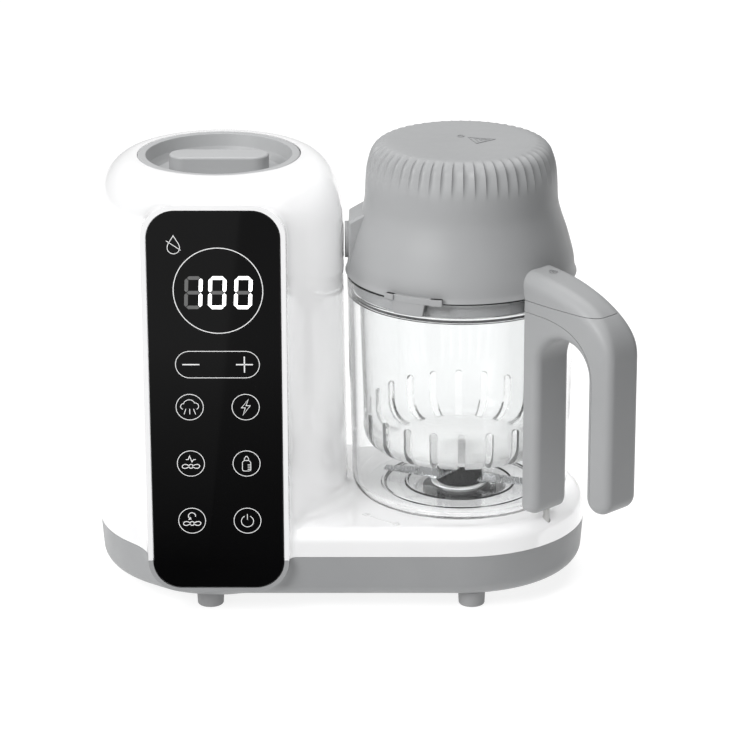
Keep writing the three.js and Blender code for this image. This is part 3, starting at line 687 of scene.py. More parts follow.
FRAME_HALF = (PANEL_HIGH[0] - PANEL_LOW[0]) / 2 + 2.8
GLASS_LOW = PANEL_LOW[2] - 0.8
GLASS_HIGH = PANEL_HIGH[2] + 1.1
FRAME_LOW = GLASS_LOW - 2.2
FRAME_HIGH = GLASS_HIGH + 2.8
FRAME_CORNER = 17.4


def with_panel_frame(body, x, y, z, radius):
    """Joins the raised block round the panel to the body with a hollow fillet as deep as the step.

    radius is the body's at each height, round the tower's axis."""
    half_high = (FRAME_HIGH - FRAME_LOW) / 2
    across = np.abs(x - TOWER_X) - (FRAME_HALF - FRAME_CORNER)
    up = np.abs(z - (FRAME_LOW + FRAME_HIGH) / 2) - (half_high - FRAME_CORNER)
    outline = np.hypot(np.maximum(across, 0), np.maximum(up, 0)) + np.minimum(np.maximum(across, up), 0)
    frame_solid = rounded_meet(outline - FRAME_CORNER, y - TOWER_Y, 2)
    frame_solid = np.maximum(frame_solid, FRAME_FACE - 3 - y)
    beside = np.minimum(np.abs(x - TOWER_X), FRAME_HALF + 2)
    behind_tower = TOWER_Y - np.sqrt(np.maximum(radius * radius - beside * beside, 1)) - FRAME_FACE
    behind_deck = JUG_Y - BODY_R - FRAME_FACE
    on_deck = smoothstep(x, TOWER_X, TOWER_X + 20) * (1 - smoothstep(z, DECK_Z - 6, DECK_Z + 14))
    step = behind_tower + (behind_deck - behind_tower) * on_deck
    return smooth_union(body, frame_solid, np.clip(step * 0.95, 0.6, 11.5))


def housing_field(x, y, z):
    body = smooth_union(tower_field(x, y, z), deck_field(x, y, z), DECK_FILLET)
    body = np.maximum(body, core_distance(x, y) - BODY_R)
    flat_z = np.minimum(z, SHOULDER_Z)
    radius = np.where(z < SHOULDER_Z, tower_radius(flat_z), shoulder_radius(z))
    return np.maximum(with_panel_frame(body, x, y, z, radius), SEAM_Z - 3 - z)


def shoulder_radius(z):
    rise = np.clip((z - SHOULDER_Z) / SHOULDER_HIGH, 0, 0.999)
    return SHOULDER_R - SHOULDER_WIDE + SHOULDER_WIDE * np.sqrt(1 - rise * rise)


def tray_radius(z):
    drop = np.clip((TRAY_CORNER_Z - z) / (TRAY_CORNER_Z - TRAY_LOW), 0, 0.999)
    side = BODY_R - (SEAM_Z - np.maximum(z, TRAY_CORNER_Z)) * TRAY_LEAN
    return side - TRAY_CORNER_WIDE * (1 - np.sqrt(1 - drop * drop))


def tray_with_frame(x, y, z):
    return np.maximum(with_panel_frame(tray_field(x, y, z), x, y, z, tray_radius(z)), z - SEAM_Z - 3)


def panel_outline(grow):
    half = (PANEL_HIGH[0] - PANEL_LOW[0]) / 2
    return rounded_rectangle(half + grow, GLASS_LOW - grow, GLASS_HIGH + grow, 15 + grow, TOWER_X, 16)


def panel_recess():
    return plate("recess", panel_outline(GAP), FRAME_FACE - 12, PANEL_HIGH[1] + GAP)


def front_cut():
    return block("front_cut", (TOWER_X - 60, FRAME_FACE - 20, 0), (TOWER_X + 60, FRAME_FACE, 260))


def stadium(radius, right=JUG, left=TOWER, segments=40):
    """A round-ended outline about the line between two centres."""
    return arc(right, radius, -90, 90, segments) + arc(left, radius, 90, 270, segments)


def tower_hollow():
    inner = [(0, SEAM_Z - 2), (BODY_R - WALL, SEAM_Z - 2), (BODY_R - WALL, 40)]
    for angle in np.radians(np.linspace(0, 90, 12)):
        r = SHOULDER_R - SHOULDER_WIDE + (SHOULDER_WIDE - WALL) * math.cos(angle)
        inner.append((r, SHOULDER_Z + (SHOULDER_HIGH - WALL) * math.sin(angle)))
    inner.append((0, TOWER_TOP - WALL))
    return turned("tower_hollow", inner, 72, TOWER)


def frame_hollow():
    back = PANEL_HIGH[1] + 3
    outline = rounded_rectangle(FRAME_HALF - 3, PANEL_LOW[2] + 0.6, PANEL_HIGH[2], 14.6, TOWER_X)
    return plate("frame_hollow", outline, back, back + 22)


def field_box(low_z, high_z):
    """Opposite corners of a box round the casing between two heights."""
    low = (TOWER_X - BODY_R - 3, FRAME_FACE - 6, low_z)
    return low, (JUG_X + BODY_R + 3, TOWER_Y + BODY_R + 3, high_z)


def housing_holes():
    rim = DECK_Z - 1.2
    well = [(0, 35.8), (24, 35.8, 1), (24, rim), (25.6, rim + 1.6), (25.6, 60), (0, 60)]
    plunger = (JUG_X + ROD_REACH * math.cos(HANDLE_ANGLE), JUG_Y + ROD_REACH * math.sin(HANDLE_ANGLE))
    port_z, gland_z = centre_mm("steam_spigot")[2], centre_mm("cord_gland")[2]
    return (
        turned("well", corner_path(well), 96, JUG),
        disc("shaft_hole", 9.3, SEAM_Z - 5, DECK_Z, JUG),
        disc("plunger_hole", 2.1, SEAM_Z + 2, DECK_Z + 5, plunger, 24),
        disc("filler", 43.5, TOWER_TOP - 6, TOWER_TOP + 5, TOWER),
        rod_along("steam_hole", 9.3, (TOWER_X + 50, TOWER_Y, port_z), (1, 0, 0), 20),
        rod_along("gland_hole", 5.3, (TOWER_X, TOWER_Y + 50, gland_z), (0, 1, 0), 30),
    )


def make_housing():
    box = field_box(SEAM_Z - 6, TOWER_TOP + 3)
    housing = net_piece("upper_housing_shell", housing_field, *box, 1.6)
    under = block("under", (-300, -200, -20), (300, 200, SEAM_Z + GAP / 2))
    carve(housing, under, front_cut(), panel_recess())
    deck_hollow = prism("deck_hollow", stadium(BODY_R - WALL), SEAM_Z - 2, DECK_Z - WALL)
    carve(housing, tower_hollow(), deck_hollow, frame_hollow())
    weld(housing, disc("cup", 26.6, SEAM_Z + 0.35, DECK_Z - 1, JUG))
    carve(housing, *housing_holes())
    housing.visible_shadow = False
    finish_piece(housing, WHITE, "base", ["upper_housing"])
    bpy.data.collections["white_parts"].objects.link(housing)


def make_tray():
    box = field_box(TRAY_LOW - 3, SEAM_Z + 6)
    tray = net_piece("base_tray_shell", tray_with_frame, *box, 1.5)
    over = block("over", (-300, -200, SEAM_Z - GAP / 2), (300, 200, 300))
    hollow = prism("tray_hollow", stadium(62.4), TRAY_LOW + WALL, SEAM_Z + 2, edge=2)
    carve(tray, over, front_cut(), panel_recess())
    carve(tray, hollow, frame_hollow())
    holes = []
    for i in range(1, 5):
        holes.append(disc(f"screw_hole_{i}", 3.6, 0, 12.4, centre_mm(f"base_screw_{i}")[:2], 32))
    for x in (TOWER_X - 9, TOWER_X, TOWER_X + 9):
        holes.append(block("vent", (x - 2, TOWER_Y + 8, 0), (x + 2, TOWER_Y + 34, 20)))
    carve(tray, *holes)
    finish_piece(tray, GREY, "base", ["base_tray"])


def make_feet():
    top = TRAY_LOW - GAP
    for spot in ("front_left", "front_right", "back_left", "back_right"):
        node = f"foot_{spot}"
        x, y = centre_mm(node)[:2]
        r = (high_mm(node)[0] - low_mm(node)[0]) / 2
        corners = [(0, 0.6), (r - 2.6, 0.6), (r - 2.2, 0), (r - 0.4, 0, 1.1)]
        corners += [(r, top, 0.4), (3, top), (3, 13), (0, 13)]
        foot = turned(f"{node}_pad", corner_path(corners), 64, (x, y))
        finish_piece(foot, RUBBER, "base", [node])


# ---- panel
def make_panel():
    slab = plate("control_panel_glass", panel_outline(0), PANEL_FACE, PANEL_HIGH[1], edge=0.35)
    finish_piece(slab, PANEL_BLACK, "base", ["control_panel"])


# Places on the panel are measured from its middle, DRIFT to the right of the tower's axis.
PANEL_MID_Z = (PANEL_LOW[2] + PANEL_HIGH[2]) / 2 - 2.85
DRIFT = 0.9
KEY_R = 7.1
KEY_COLUMN = 14.6
KEY_ROWS = (0.6, -30.9, -63.2)
LINE = 0.35
DETAIL_LINE = 0.42
FINE_LINE = 0.4
RING_LINE = 0.45
SIGN_LINE = 0.65
PRINT_HIGH = 0.05


def stroke(points, width=LINE, closed=False):
    """A flat line of the given width through (across, up) points, as its two edges."""
    p = np.array(points, float)
    if closed:
        before, after = np.roll(p, 1, 0), np.roll(p, -1, 0)
    else:
        before, after = np.vstack([2 * p[0] - p[1], p[:-1]]), np.vstack([p[1:], 2 * p[-1] - p[-2]])
    arriving, leaving = unit_rows(p - before), unit_rows(after - p)
    side = left_of(unit_rows(arriving + leaving))
    stretch = 1 / np.clip(np.sum(side * left_of(arriving), 1), 0.4, 1)
    offset = side * (stretch * width / 2)[:, None]
    return p + offset, p - offset, closed


def ribbon_mesh(name, strokes, place, thick):
    """Raises flat lines by thick; place(point, level) says where a point lies at a level."""
    points, faces = [], []
    for left, right, closed in strokes:
        count = len(left)
        base = len(points)
        for level in (0, thick):
            points += [place(q, level) for q in left]
            points += [place(q, level) for q in right]
        last = count if closed else count - 1
        for i in range(last):
            j = (i + 1) % count
            a, b, c, d = base + i, base + j, base + count + j, base + count + i
            e, f, g, h = (v + 2 * count for v in (a, b, c, d))
            faces += [(a, b, c, d), (h, g, f, e), (b, a, e, f), (d, c, g, h)]
        if not closed:
            for i in (0, count - 1):
                faces.append((base + i, base + count + i, base + 3 * count + i, base + 2 * count + i))
    return face_out(mesh_piece(name, points, faces))


def on_panel(centre_x, centre_z):
    """Puts (x, z) points given from a symbol's centre onto the panel face."""

    def place(q, level):
        return (TOWER_X + DRIFT + centre_x + q[0], PANEL_FACE - level, PANEL_MID_Z + centre_z + q[1])

    return place


def ring(radius, width=LINE, segments=64, centre=(0, 0)):
    return stroke(arc(centre, radius, 0, 360, segments)[:-1], width, True)


def steam_symbol():
    cloud = bezier([(-3.6, -1.2), (-5.4, -0.6), (-5, 2), (-3.1, 1.9)], 8)
    cloud += bezier([(-3.1, 1.9), (-2.6, 4.6), (2, 4.8), (2.5, 2.3)], 10)[1:]
    cloud += bezier([(2.5, 2.3), (5, 2.7), (5.4, -0.6), (3.6, -1.2)], 8)[1:]
    wisps = [stroke([(x, -1), (x * 1.5, -4)]) for x in (-2, 0, 2)]
    return [stroke(cloud)] + wisps


def bolt_symbol():
    bolt = [(1.4, 4.2), (-2.2, -0.4), (-0.2, -0.4), (-1.4, -4.4), (2.4, 0.8), (0.2, 0.8)]
    return [stroke(bolt, LINE, True)]


def blade_symbol(lift):
    left = bezier([(-0.8, lift), (-2.2, lift + 1.8), (-4.8, lift + 1.2), (-4.6, lift - 0.4)], 8)
    left += bezier([(-4.6, lift - 0.4), (-4, lift - 1.6), (-2, lift - 1.2), (-0.8, lift)], 8)[1:]
    right = [(-x, 2 * lift - z) for x, z in left]
    nut = ring(1.1, DETAIL_LINE, 20, (0, lift))
    return [stroke(left, DETAIL_LINE), stroke(right, DETAIL_LINE), nut]


def pulse_symbol():
    pulse = [(-2.6, 2.2), (-1.4, 2.2), (-0.6, 4.2), (0.6, 0.9), (1.4, 2.2), (2.6, 2.2)]
    return [stroke(pulse, DETAIL_LINE)]


def turn_symbol():
    curve = arc((0, 2.6), 1.9, -10, 250, 18)
    tip = [(-1.9, 0.7), (-0.6, 0.8), (-0.9, 2)]
    return [stroke(curve, DETAIL_LINE), stroke(tip, DETAIL_LINE)]


def bottle_symbol():
    body = [(-1.1, 1.7), (-2.2, 0.8, 0.8), (-2.2, -4.2, 1), (2.2, -4.2, 1), (2.2, 0.8, 0.8), (1.1, 1.7)]
    teat = [(-1.1, 1.7), (-1.1, 2.8, 0.5), (0, 4.6, 0.6), (1.1, 2.8, 0.5), (1.1, 1.7)]
    marks = [stroke([(0.6, z), (2.2, z)], FINE_LINE) for z in (-0.8, -2, -3.2)]
    neck = stroke([(-1.1, 1.7), (1.1, 1.7)], FINE_LINE)
    return [stroke(corner_path(shape, 4)) for shape in (body, teat)] + [neck] + marks


def power_symbol():
    return [stroke(arc((0, -0.3), 3.2, 118, 422, 36)), stroke([(0, 0.6), (0, 3.7)])]


def drop_symbol():
    drop = bezier([(0, 4.8), (-1.2, 2.4), (-3.2, 0.4), (-3.2, -1.8)], 8)
    drop += arc((0, -1.8), 3.2, 180, 360, 14)[1:]
    drop += bezier([(3.2, -1.8), (3.2, 0.4), (1.2, 2.4), (0, 4.8)], 8)[1:-1]
    return [stroke(drop, LINE, True), stroke([(-3.7, 2), (3.7, -3.1)])]


def make_symbols():
    signs = [[(-18.2, 0), (-9.4, 0)], [(9.6, 0), (18.4, 0)], [(14, -4.4), (14, 4.4)]]
    pill = stroke(stadium(7.3, (14.5, 0), (-14.5, 0), 24), LINE, True)
    symbols = [(drop_symbol(), -21.2, 89.4), ([ring(23.1, RING_LINE, 96)], 1.3, 64.4)]
    symbols.append(([pill] + [stroke(sign, SIGN_LINE) for sign in signs], 0.3, 24.1))
    keys = [
        [steam_symbol(), bolt_symbol()],
        [blade_symbol(-1.6) + pulse_symbol(), bottle_symbol()],
        [blade_symbol(-1.6) + turn_symbol(), power_symbol()],
    ]
    for row, z in zip(keys, KEY_ROWS):
        for symbol, side in zip(row, (-1, 1)):
            symbols.append(([ring(KEY_R)] + symbol, side * KEY_COLUMN, z))
    pieces = [ribbon_mesh("symbol", s, on_panel(x, z), PRINT_HIGH) for s, x, z in symbols]
    finish_piece(gather("panel_symbols", pieces), PRINT, "base")


DIGIT_WIDE = 9.3
DIGIT_HIGH = 17.8
SEGMENT = 1.9
SLANT = 0.04


def segment_bar(start, end):
    """A display segment with pointed ends, as two long edges."""
    start, end = np.array(start, float), np.array(end, float)
    along = (end - start) / np.linalg.norm(end - start)
    side = np.array([-along[1], along[0]]) * SEGMENT / 2
    point = along * SEGMENT / 2
    a, b = start + along * 0.25, end - along * 0.25
    slant = np.array([[1, 0], [SLANT, 1]])
    left = np.array([a, a + point + side, b - point + side, b]) @ slant
    right = np.array([a, a + point - side, b - point - side, b]) @ slant
    return left + 1e-4, right - 1e-4, False


def segments_of_digit():
    """The ends of the seven segments, from a to g."""
    w, h = (DIGIT_WIDE - SEGMENT) / 2, (DIGIT_HIGH - SEGMENT) / 2
    path = [(-w, h), (w, h), (w, 0), (w, -h)]
    ends = [*zip(path, path[1:]), ((-w, -h), (w, -h)), ((-w, 0), (-w, -h)), ((-w, h), (-w, 0))]
    return dict(zip("abcdefg", [*ends, ((-w, 0), (w, 0))]))


def make_digits():
    spots = segments_of_digit()
    lit, dim = [], []
    for x, shown in ((-11.4, "bc"), (0.9, "abcdef"), (14.3, "abcdef")):
        place = on_panel(x, 63.4)
        on = [segment_bar(*ends) for s, ends in spots.items() if s in shown]
        off = [segment_bar(*ends) for s, ends in spots.items() if s not in shown]
        lit.append(ribbon_mesh("lit", on, place, PRINT_HIGH))
        dim.append(ribbon_mesh("dim", off, place, PRINT_HIGH))
    finish_piece(gather("display_digits_lit", lit), DIGIT_LIT, "base")
    finish_piece(gather("display_digits_dim", dim), DIGIT_DIM, "base")


# ---- tank and cap
def make_cap():
    top = TOWER_TOP
    corners = [(0, 222.8), (30, 223.6, 4), (37, 226.5, 1), (38.1, 229, 0.5), (38.1, 232)]
    corners += [(40.2, 232), (40.2, 233.6), (43.1, 233.6, 0.3), (43.1, top, 0.9), (38.9, top, 0.5)]
    corners += [(37.1, 230, 0.8), (35.8, 227.5, 1), (34.6, 225.8, 1), (0, 225.4)]
    cap = turned("tank_cap_dish", corner_path(corners), 144, TOWER)
    grip = stadium(8.5, (18, 0), (-18, 0), 20)
    rim = 1.3
    rows = [(225, 0)]
    for angle in np.radians(np.linspace(0, 90, 6)):
        rows.append((top - rim + rim * math.sin(angle), rim * (1 - math.cos(angle))))
    weld(cap, stacked("grip", grip, rows, TOWER))
    # The cap wears the lighter copy of the lid's grey: painted light.
    finish_piece(cap, CAP_GREY_PAINTED_LIGHT, "tank_cap", ["tank_cap"])


def band_outline(outer, inner, low, high, start, top_round, foot_round):
    """A closed ring section that starts part way up its outer wall."""
    corners = [(outer, start), (outer, high, top_round), (inner, high, top_round)]
    corners += [(inner, low, foot_round), (outer, low, foot_round), (outer, start)]
    return corner_path(corners)[:-1]


def make_tank():
    corners = [(0, 178), (44, 178, 2), (48, 182, 2), (48, 218, 3), (43.4, 224, 2), (43.4, 230.9)]
    corners += [(47, 230.9, 0.4), (47, 233.3, 0.4), (40.9, 233.3, 0.6), (40.9, 223.4, 2)]
    corners += [(46, 217.4, 2), (46, 183, 1), (43, 180, 1), (0, 180)]
    tank = turned("water_tank_shell", corner_path(corners), 96, TOWER)
    tank.visible_shadow = False
    finish_piece(tank, CLEAR_TANK, "base", ["water_tank"])
    seal = turned("cap_seal_ring", band_outline(40.6, 38.4, 229.2, 231.8, 230.5, 0.5, 0.5), 96, TOWER)
    finish_piece(seal, SILICONE, "cap_seal", ["tank_cap_seal"])


# ---- jug
JUG_LEDGE = 160.6


def make_jug():
    floor = JUG_LOW + 3.1
    corners = [(10.3, JUG_LOW), (13, JUG_LOW, 0.5), (14, JUG_LOW + 1.2, 0.5)]
    corners += [(40, JUG_LOW + 1.2, 0.6), (41.2, JUG_LOW, 0.5), (58.4, JUG_LOW, 8)]
    corners += [(59.2, 70), (59.9, 98), (60.6, 127), (60.9, 153), (61.2, JUG_TOP, 0.9)]
    corners += [(58.8, JUG_TOP, 0.6), (58.7, JUG_LEDGE, 0.4), (57.4, JUG_LEDGE, 0.8)]
    corners += [(57.5, 153), (57.2, 127), (56.2, 66), (55.6, floor, 5.5)]
    for outer, inner, rise in ((43, 40.6, 0.7), (30, 27.8, 0.8)):
        corners += [(outer, floor, 0.3), (outer - 0.6, floor + rise, 0.3)]
        corners += [(inner + 0.6, floor + rise, 0.3), (inner, floor, 0.3)]
    corners.append((10.3, floor))
    jug = turned("jug_body", corner_path(corners, 4), 160, JUG)
    jug.visible_shadow = False
    finish_piece(jug, CLEAR_JUG, "jug", ["jug"])


SLOTS = 22
SLOT_WIDE = 4
SLOT_TOP = 97


def slot_cutters():
    half = SLOT_WIDE / 2
    shape = [(-half, 60), (half, 60)] + arc((0, SLOT_TOP - half), half, 0, 180, 10)
    cutters = []
    for i in range(SLOTS):
        cutter = plate("slot", shape, 38, 62)
        angle = 2 * math.pi * (i + 0.5) / SLOTS
        out = Vector((math.cos(angle), math.sin(angle), 0))
        side = Vector((-math.sin(angle), math.cos(angle), 0))
        for v in cutter.data.vertices:
            x, y, z = v.co
            flat = out * y + side * x
            v.co = (flat.x + JUG_X * MM, flat.y + JUG_Y * MM, z)
        cutters.append(face_out(cutter))
    return cutters


def paint_shade_on_front_slot_sides(basket):
    """Paints shade on the side faces of the front half's slots, with the dark grey clear material."""
    basket.data.materials.append(SLOT_PAINTED_SHADE)
    for face in basket.data.polygons:
        out = Vector((face.center.x - JUG_X * MM, face.center.y - JUG_Y * MM, 0))
        faces_wall = abs(face.normal @ out.normalized()) < 0.3
        in_slot = faces_wall and abs(face.normal.z) < 0.8 and face.center.z < (SLOT_TOP + 0.3) * MM
        if in_slot and out.length > 0.038 and out.y < 0:
            face.material_index = 1


def make_basket():
    low, top = low_mm("steam_basket")[2], high_mm("steam_basket")[2]
    corners = [(0, low), (52.2, low, 16), (52.6, 98), (54, 144), (54.2, top - 2.5, 0.6)]
    corners += [(58.2, top - 2.5, 0.4), (58.2, top, 0.7), (52.4, top, 0.8), (52.1, 144)]
    corners += [(50.7, 98), (50.2, low + 2, 14.2), (0, low + 2)]
    basket = turned("steam_basket_shell", corner_path(corners, 8), SLOTS * 8, JUG)
    carve(basket, *slot_cutters())
    basket.visible_shadow = False
    finish_piece(basket, CLEAR_BASKET, "basket", ["steam_basket"])
    paint_shade_on_front_slot_sides(basket)
    rim = turned("basket_rim_seal", arc((58.25, top - 1.25), 0.45, 0, 360, 12)[:-1], 128, JUG)
    finish_piece(rim, SEAL, "basket")


def make_blades():
    corners = [(3.3, 53.5), (9, 53.5), (9, 52.3), (12.9, 52.3, 0.4), (12.4, 55.5)]
    corners += [(12.3, 69.8, 1.6), (4, 69.8, 0.6), (3.3, 68.4)]
    hub = turned("blade_hub_body", corner_path(corners), 72, JUG)
    finish_piece(hub, NYLON, "blades", ["blade_hub"])
    corners = [(10, 45.8), (10, 51.3), (15.6, 51.3, 0.3), (15.6, 52.4, 0.5)]
    corners += [(13.7, 52.4, 0.3), (13.4, 52), (3.3, 52), (3.3, 45.8)]
    bearing = turned("blade_bearing_ring", corner_path(corners), 72, JUG)
    finish_piece(bearing, SILICONE, "jug", ["blade_bearing"])
    make_blade("lower_blade", 43, -15, -1.8)
    make_blade("upper_blade", 30, 62, 0)


def make_blade(node, reach, turn_deg, lift):
    """A two-armed blade with ground edges and one drain hole in each arm."""
    low, high = low_mm(node)[2] + lift, high_mm(node)[2] + lift
    half = 6
    outline = []
    for way in (1, -1):
        bend = [(-reach, -1.5), (-reach / 2, -half), (0, -half)]
        outline += bezier([(way * x, way * y) for x, y in bend], 8)
        bend = [(0, -half), (reach / 2, -half), (reach, -half / 2)]
        outline += bezier([(way * x, way * y) for x, y in bend], 8)[1:]
    turn = math.radians(turn_deg)
    blade = prism(f"{node}_steel", outline, low, high, JUG, turn, edge=0.6)
    holes = [disc("bore", 3.3, low - 5, high + 5, JUG, 32)]
    for out in (-0.55 * reach, 0.55 * reach):
        spot = (JUG_X + out * math.cos(turn), JUG_Y + out * math.sin(turn))
        holes.append(disc("drain", 1.4, low - 5, high + 5, spot, 24))
    carve(blade, *holes)
    finish_piece(blade, STEEL, "blades", [node])


def make_base_ring():
    corners = [(12.2, 43.5), (20, 43.5, 0.8), (20, 47.8, 0.4), (10.3, 47.8), (10.3, 46), (12.2, 46)]
    base_ring = turned("jug_base_ring_body", corner_path(corners), 72, JUG)
    finish_piece(base_ring, NYLON, "base_ring", ["jug_base_ring"])


# ---- lid
LID_LOW = 172.4
LID_SIDE = [(62, LID_LOW), (61.05, 174.6), (60.05, 182.3), (57, 193.8), (53.3, 204.9), (51.6, 212)]
LID_SIDE += [(51.1, 221.3), (50.7, 227.3), (49.9, 232.3), (48.2, 237.6), (46.3, 240.5)]
LID_SIDE += [(43.8, 242.3), (40.4, 243.2), (36, 243.5)]
FLUTES = 52
FLUTE_DEPTH = 1.15
LID_WALL = 2.4


def flute_shift(outline):
    """Scalloped flutes that start at the lid's top edge and die out down its side."""
    normals = -left_of(unit_rows(np.gradient(np.array(outline), axis=0)))

    def shift(index, angles, radii, heights):
        r, z = outline[index]
        if r < 38 or z < 220:
            return radii, heights
        share = smoothstep(z, 223, 236) * smoothstep(r, 39.5, 45.5)
        phase = (angles * FLUTES / (2 * math.pi)) % 1
        depth = FLUTE_DEPTH * share * np.sin(math.pi * phase**0.62)
        return radii - depth * normals[index][0], heights - depth * normals[index][1]

    return shift


def lid_outline():
    side = spline_path(LID_SIDE, 1.1)
    return [(0, LID_LOW)] + side + [(24, LID_TOP - 0.3), (0, LID_TOP - 0.3)]


def lid_hollow():
    roof = LID_TOP - LID_WALL
    side = [(r - LID_WALL, min(z, roof)) for r, z in LID_SIDE[1:]]
    outline = [(0, LID_LOW - 3), (59.6, LID_LOW - 3), (59.6, LID_LOW), *side, (0, roof)]
    return turned("lid_hollow", outline, 96, JUG)


def steam_boss():
    """The flat-faced block on the lid's tower side that holds the steam port."""
    back, face, half_wide = -40, -60, 13
    side = [(back, LID_LOW), (face, LID_LOW), (face, 201.8, 1.5), (-52.4, 206.2, 2), (back, 208)]
    side = [(JUG_X + x, z) for x, z in corner_path(side)]
    return plate("boss", side, JUG_Y - half_wide, JUG_Y + half_wide, edge=1.2)


def handle_outline():
    """Side view of the handle and lid arm, as distance from the jug axis and height."""
    root, outer = 50, 120.6
    arch_x, arch_z, arch_r = 86.8, 137.8, 17
    path = [(root, 52.3)]
    path += bezier([(64.5, 52.3), (arch_x - arch_r, 52.3), (arch_x - arch_r, 59)], 8)
    path += arc((arch_x, arch_z), arch_r, 180, 0, 22)
    path += arc((arch_x + arch_r + 8.4, 73.5), 8.4, 180, 360, 14)
    path += bezier([(outer, 150), (outer, 165), (107, 175.6), (92, 180.2)], 16)
    path += bezier([(92, 180.2), (82, 183.4), (70, 186), (root, 187)], 8)[1:]
    return path


def handle_half_width(u):
    return 12.8 - 1.0 * smoothstep(u, 74, 100)


HANDLE_LEAN = math.radians(1.2)
HANDLE_TURN = HANDLE_ANGLE - HANDLE_LEAN
ROD_SPOT = (ROD_REACH * math.cos(HANDLE_LEAN), ROD_REACH * math.sin(HANDLE_LEAN))


def handle_point(u, t, z):
    """A point u out along the handle, t across it, at height z."""
    c, s = math.cos(HANDLE_TURN), math.sin(HANDLE_TURN)
    return (JUG_X + u * c - t * s, JUG_Y + u * s + t * c, z)


def along_handle(piece):
    """Moves a mesh made with x out along the handle and y across it to its place on the jug."""
    for v in piece.data.vertices:
        v.co = Vector(handle_point(v.co.x / MM, v.co.y / MM, v.co.z / MM)) * MM
    return piece


def handle_field(u, t, z):
    flat = outline_field(handle_outline(), u, z)
    return rounded_meet(flat, np.abs(t) - handle_half_width(u), 4.7 + 3.3 * smoothstep(z, 156, 176))


def cover_side(shift):
    """Everything outside the seam between the handle's grip and its cover."""
    out = 107.8 + shift
    start = (74 + shift, 165.2 + shift)
    path = [(40, 165.7 + shift)]
    path += bezier([start, (92 + shift, 164 + shift), (out, 156 + shift), (out, 134 + shift)], 14)
    path += [(out, 40), (150, 40), (150, 220), (40, 220)]
    return plate("cover_side", path, -20, 20)


HANDLE_SPLIT = 171.7
THROAT_R = 61.6


def make_handle_and_lid():
    """One solid makes the lid's arm above the split, and the grip and its cover below it."""
    grip = net_piece("handle_grip_shell", handle_field, (45, -16, 48), (125, 16, 190), 1.3)
    arm, cover = copy_of(grip, "arm"), copy_of(grip, "handle_cover_shell")
    keep_common(arm, block("above", (40, -20, HANDLE_SPLIT + GAP / 2), (150, 20, 230)))
    along_handle(arm)
    for piece, cut, seam, node in (
        (grip, carve, -0.12, "handle_grip"),
        (cover, keep_common, 0.12, "handle_cover"),
    ):
        keep_common(piece, block("below", (40, -20, 0), (150, 20, HANDLE_SPLIT - GAP / 2)))
        cut(piece, cover_side(seam))
        throat = disc("throat", THROAT_R, 40, 180, (0, 0), 160)
        carve(piece, throat, disc("rod_channel", 2.3, 40, 200, ROD_SPOT, 24))
        finish_piece(along_handle(piece), LID_GREY, "jug", [node])
    make_lid(arm)


def make_lid(arm):
    outline = lid_outline()
    lid = turned("lid_shell_body", outline, FLUTES * 10, JUG, flute_shift(outline))
    weld(lid, steam_boss(), arm)
    start = (JUG_X - 70, JUG_Y, centre_mm("steam_spigot")[2])
    carve(lid, lid_hollow(), rod_along("port", 10.1, start, (1, 0, 0), 25, 64))
    finish_piece(lid, LID_GREY, "lid", ["lid_shell"], 28)
    spigot = rod_along("steam_spigot_seal", 9.8, (JUG_X - 64, *start[1:]), (1, 0, 0), 13, 72)
    carve(spigot, rod_along("bore", 4, start, (1, 0, 0), 40, 32))
    keep_common(spigot, disc("reach", 62.2, 150, 220, JUG, 200))
    finish_piece(spigot, RUBBER, "lid", ["steam_spigot"])


LATCH_BACK_R = 62.3


def bent_block(name, outer, start_deg, end_deg, low, high, foot_inset_deg=0.0):
    """A block that follows the jug's curve, narrower at its foot by foot_inset_deg at each end."""
    n = max(3, round((end_deg - start_deg) / 1.5)) + 1
    points, faces = [], []
    for z, inset in ((low, foot_inset_deg), (high, 0)):
        for radius in (outer, LATCH_BACK_R):
            path = arc(JUG, radius, start_deg + inset, end_deg - inset, n - 1)
            points += [(x, y, z) for x, y in path]
    for i in range(n - 1):
        for a, b in ((0, 2 * n), (3 * n, n), (2 * n, 3 * n), (n, 0)):
            faces.append((a + i, a + i + 1, b + i + 1, b + i))
    faces += [(i, 2 * n + i, 3 * n + i, n + i) for i in (0, n - 1)]
    piece = face_out(mesh_piece(name, points, faces))
    bevel = piece.modifiers.new("edge", "BEVEL")
    bevel.width = 0.3 * MM
    bevel.segments = 2
    bevel.limit_method = "ANGLE"
    bevel.angle_limit = math.radians(40)
    return settle_modifiers(piece)


def make_latch_tab():
    blocks = [
        bent_block("bar", 64.8, 231.5, 260.5, 171.9, 175.3),
        bent_block("tongue", 64.4, 235, 252, 165, 172.5, 1.2),
        bent_block("left_end", 66, 231.5, 236.5, 172.6, 175.3),
        bent_block("right_end", 66, 254.5, 260.5, 172, 175.3),
    ]
    tab = gather("lid_latch_tab_body", blocks)
    finish_piece(tab, LID_GREY, "lid", ["lid_latch_tab"])


def make_lid_rings():
    low, high = low_mm("lid_inner_ring")[2], high_mm("lid_inner_ring")[2]
    sleeve = turned("lid_sleeve", band_outline(57.5, 55.2, low, high, low + 3, 0.4, 0.5), 128, JUG)
    finish_piece(sleeve, GREY, "lid_ring", ["lid_inner_ring"])
    low, high = low_mm("lid_gasket")[2], high_mm("lid_gasket")[2]
    outline = band_outline(61.2, 58.9, low, high, (low + high) / 2, 0.2, 0.2)
    band = turned("lid_gasket_band", outline, 128, JUG)
    finish_piece(band, SEAL, "lid_ring", ["lid_gasket"])


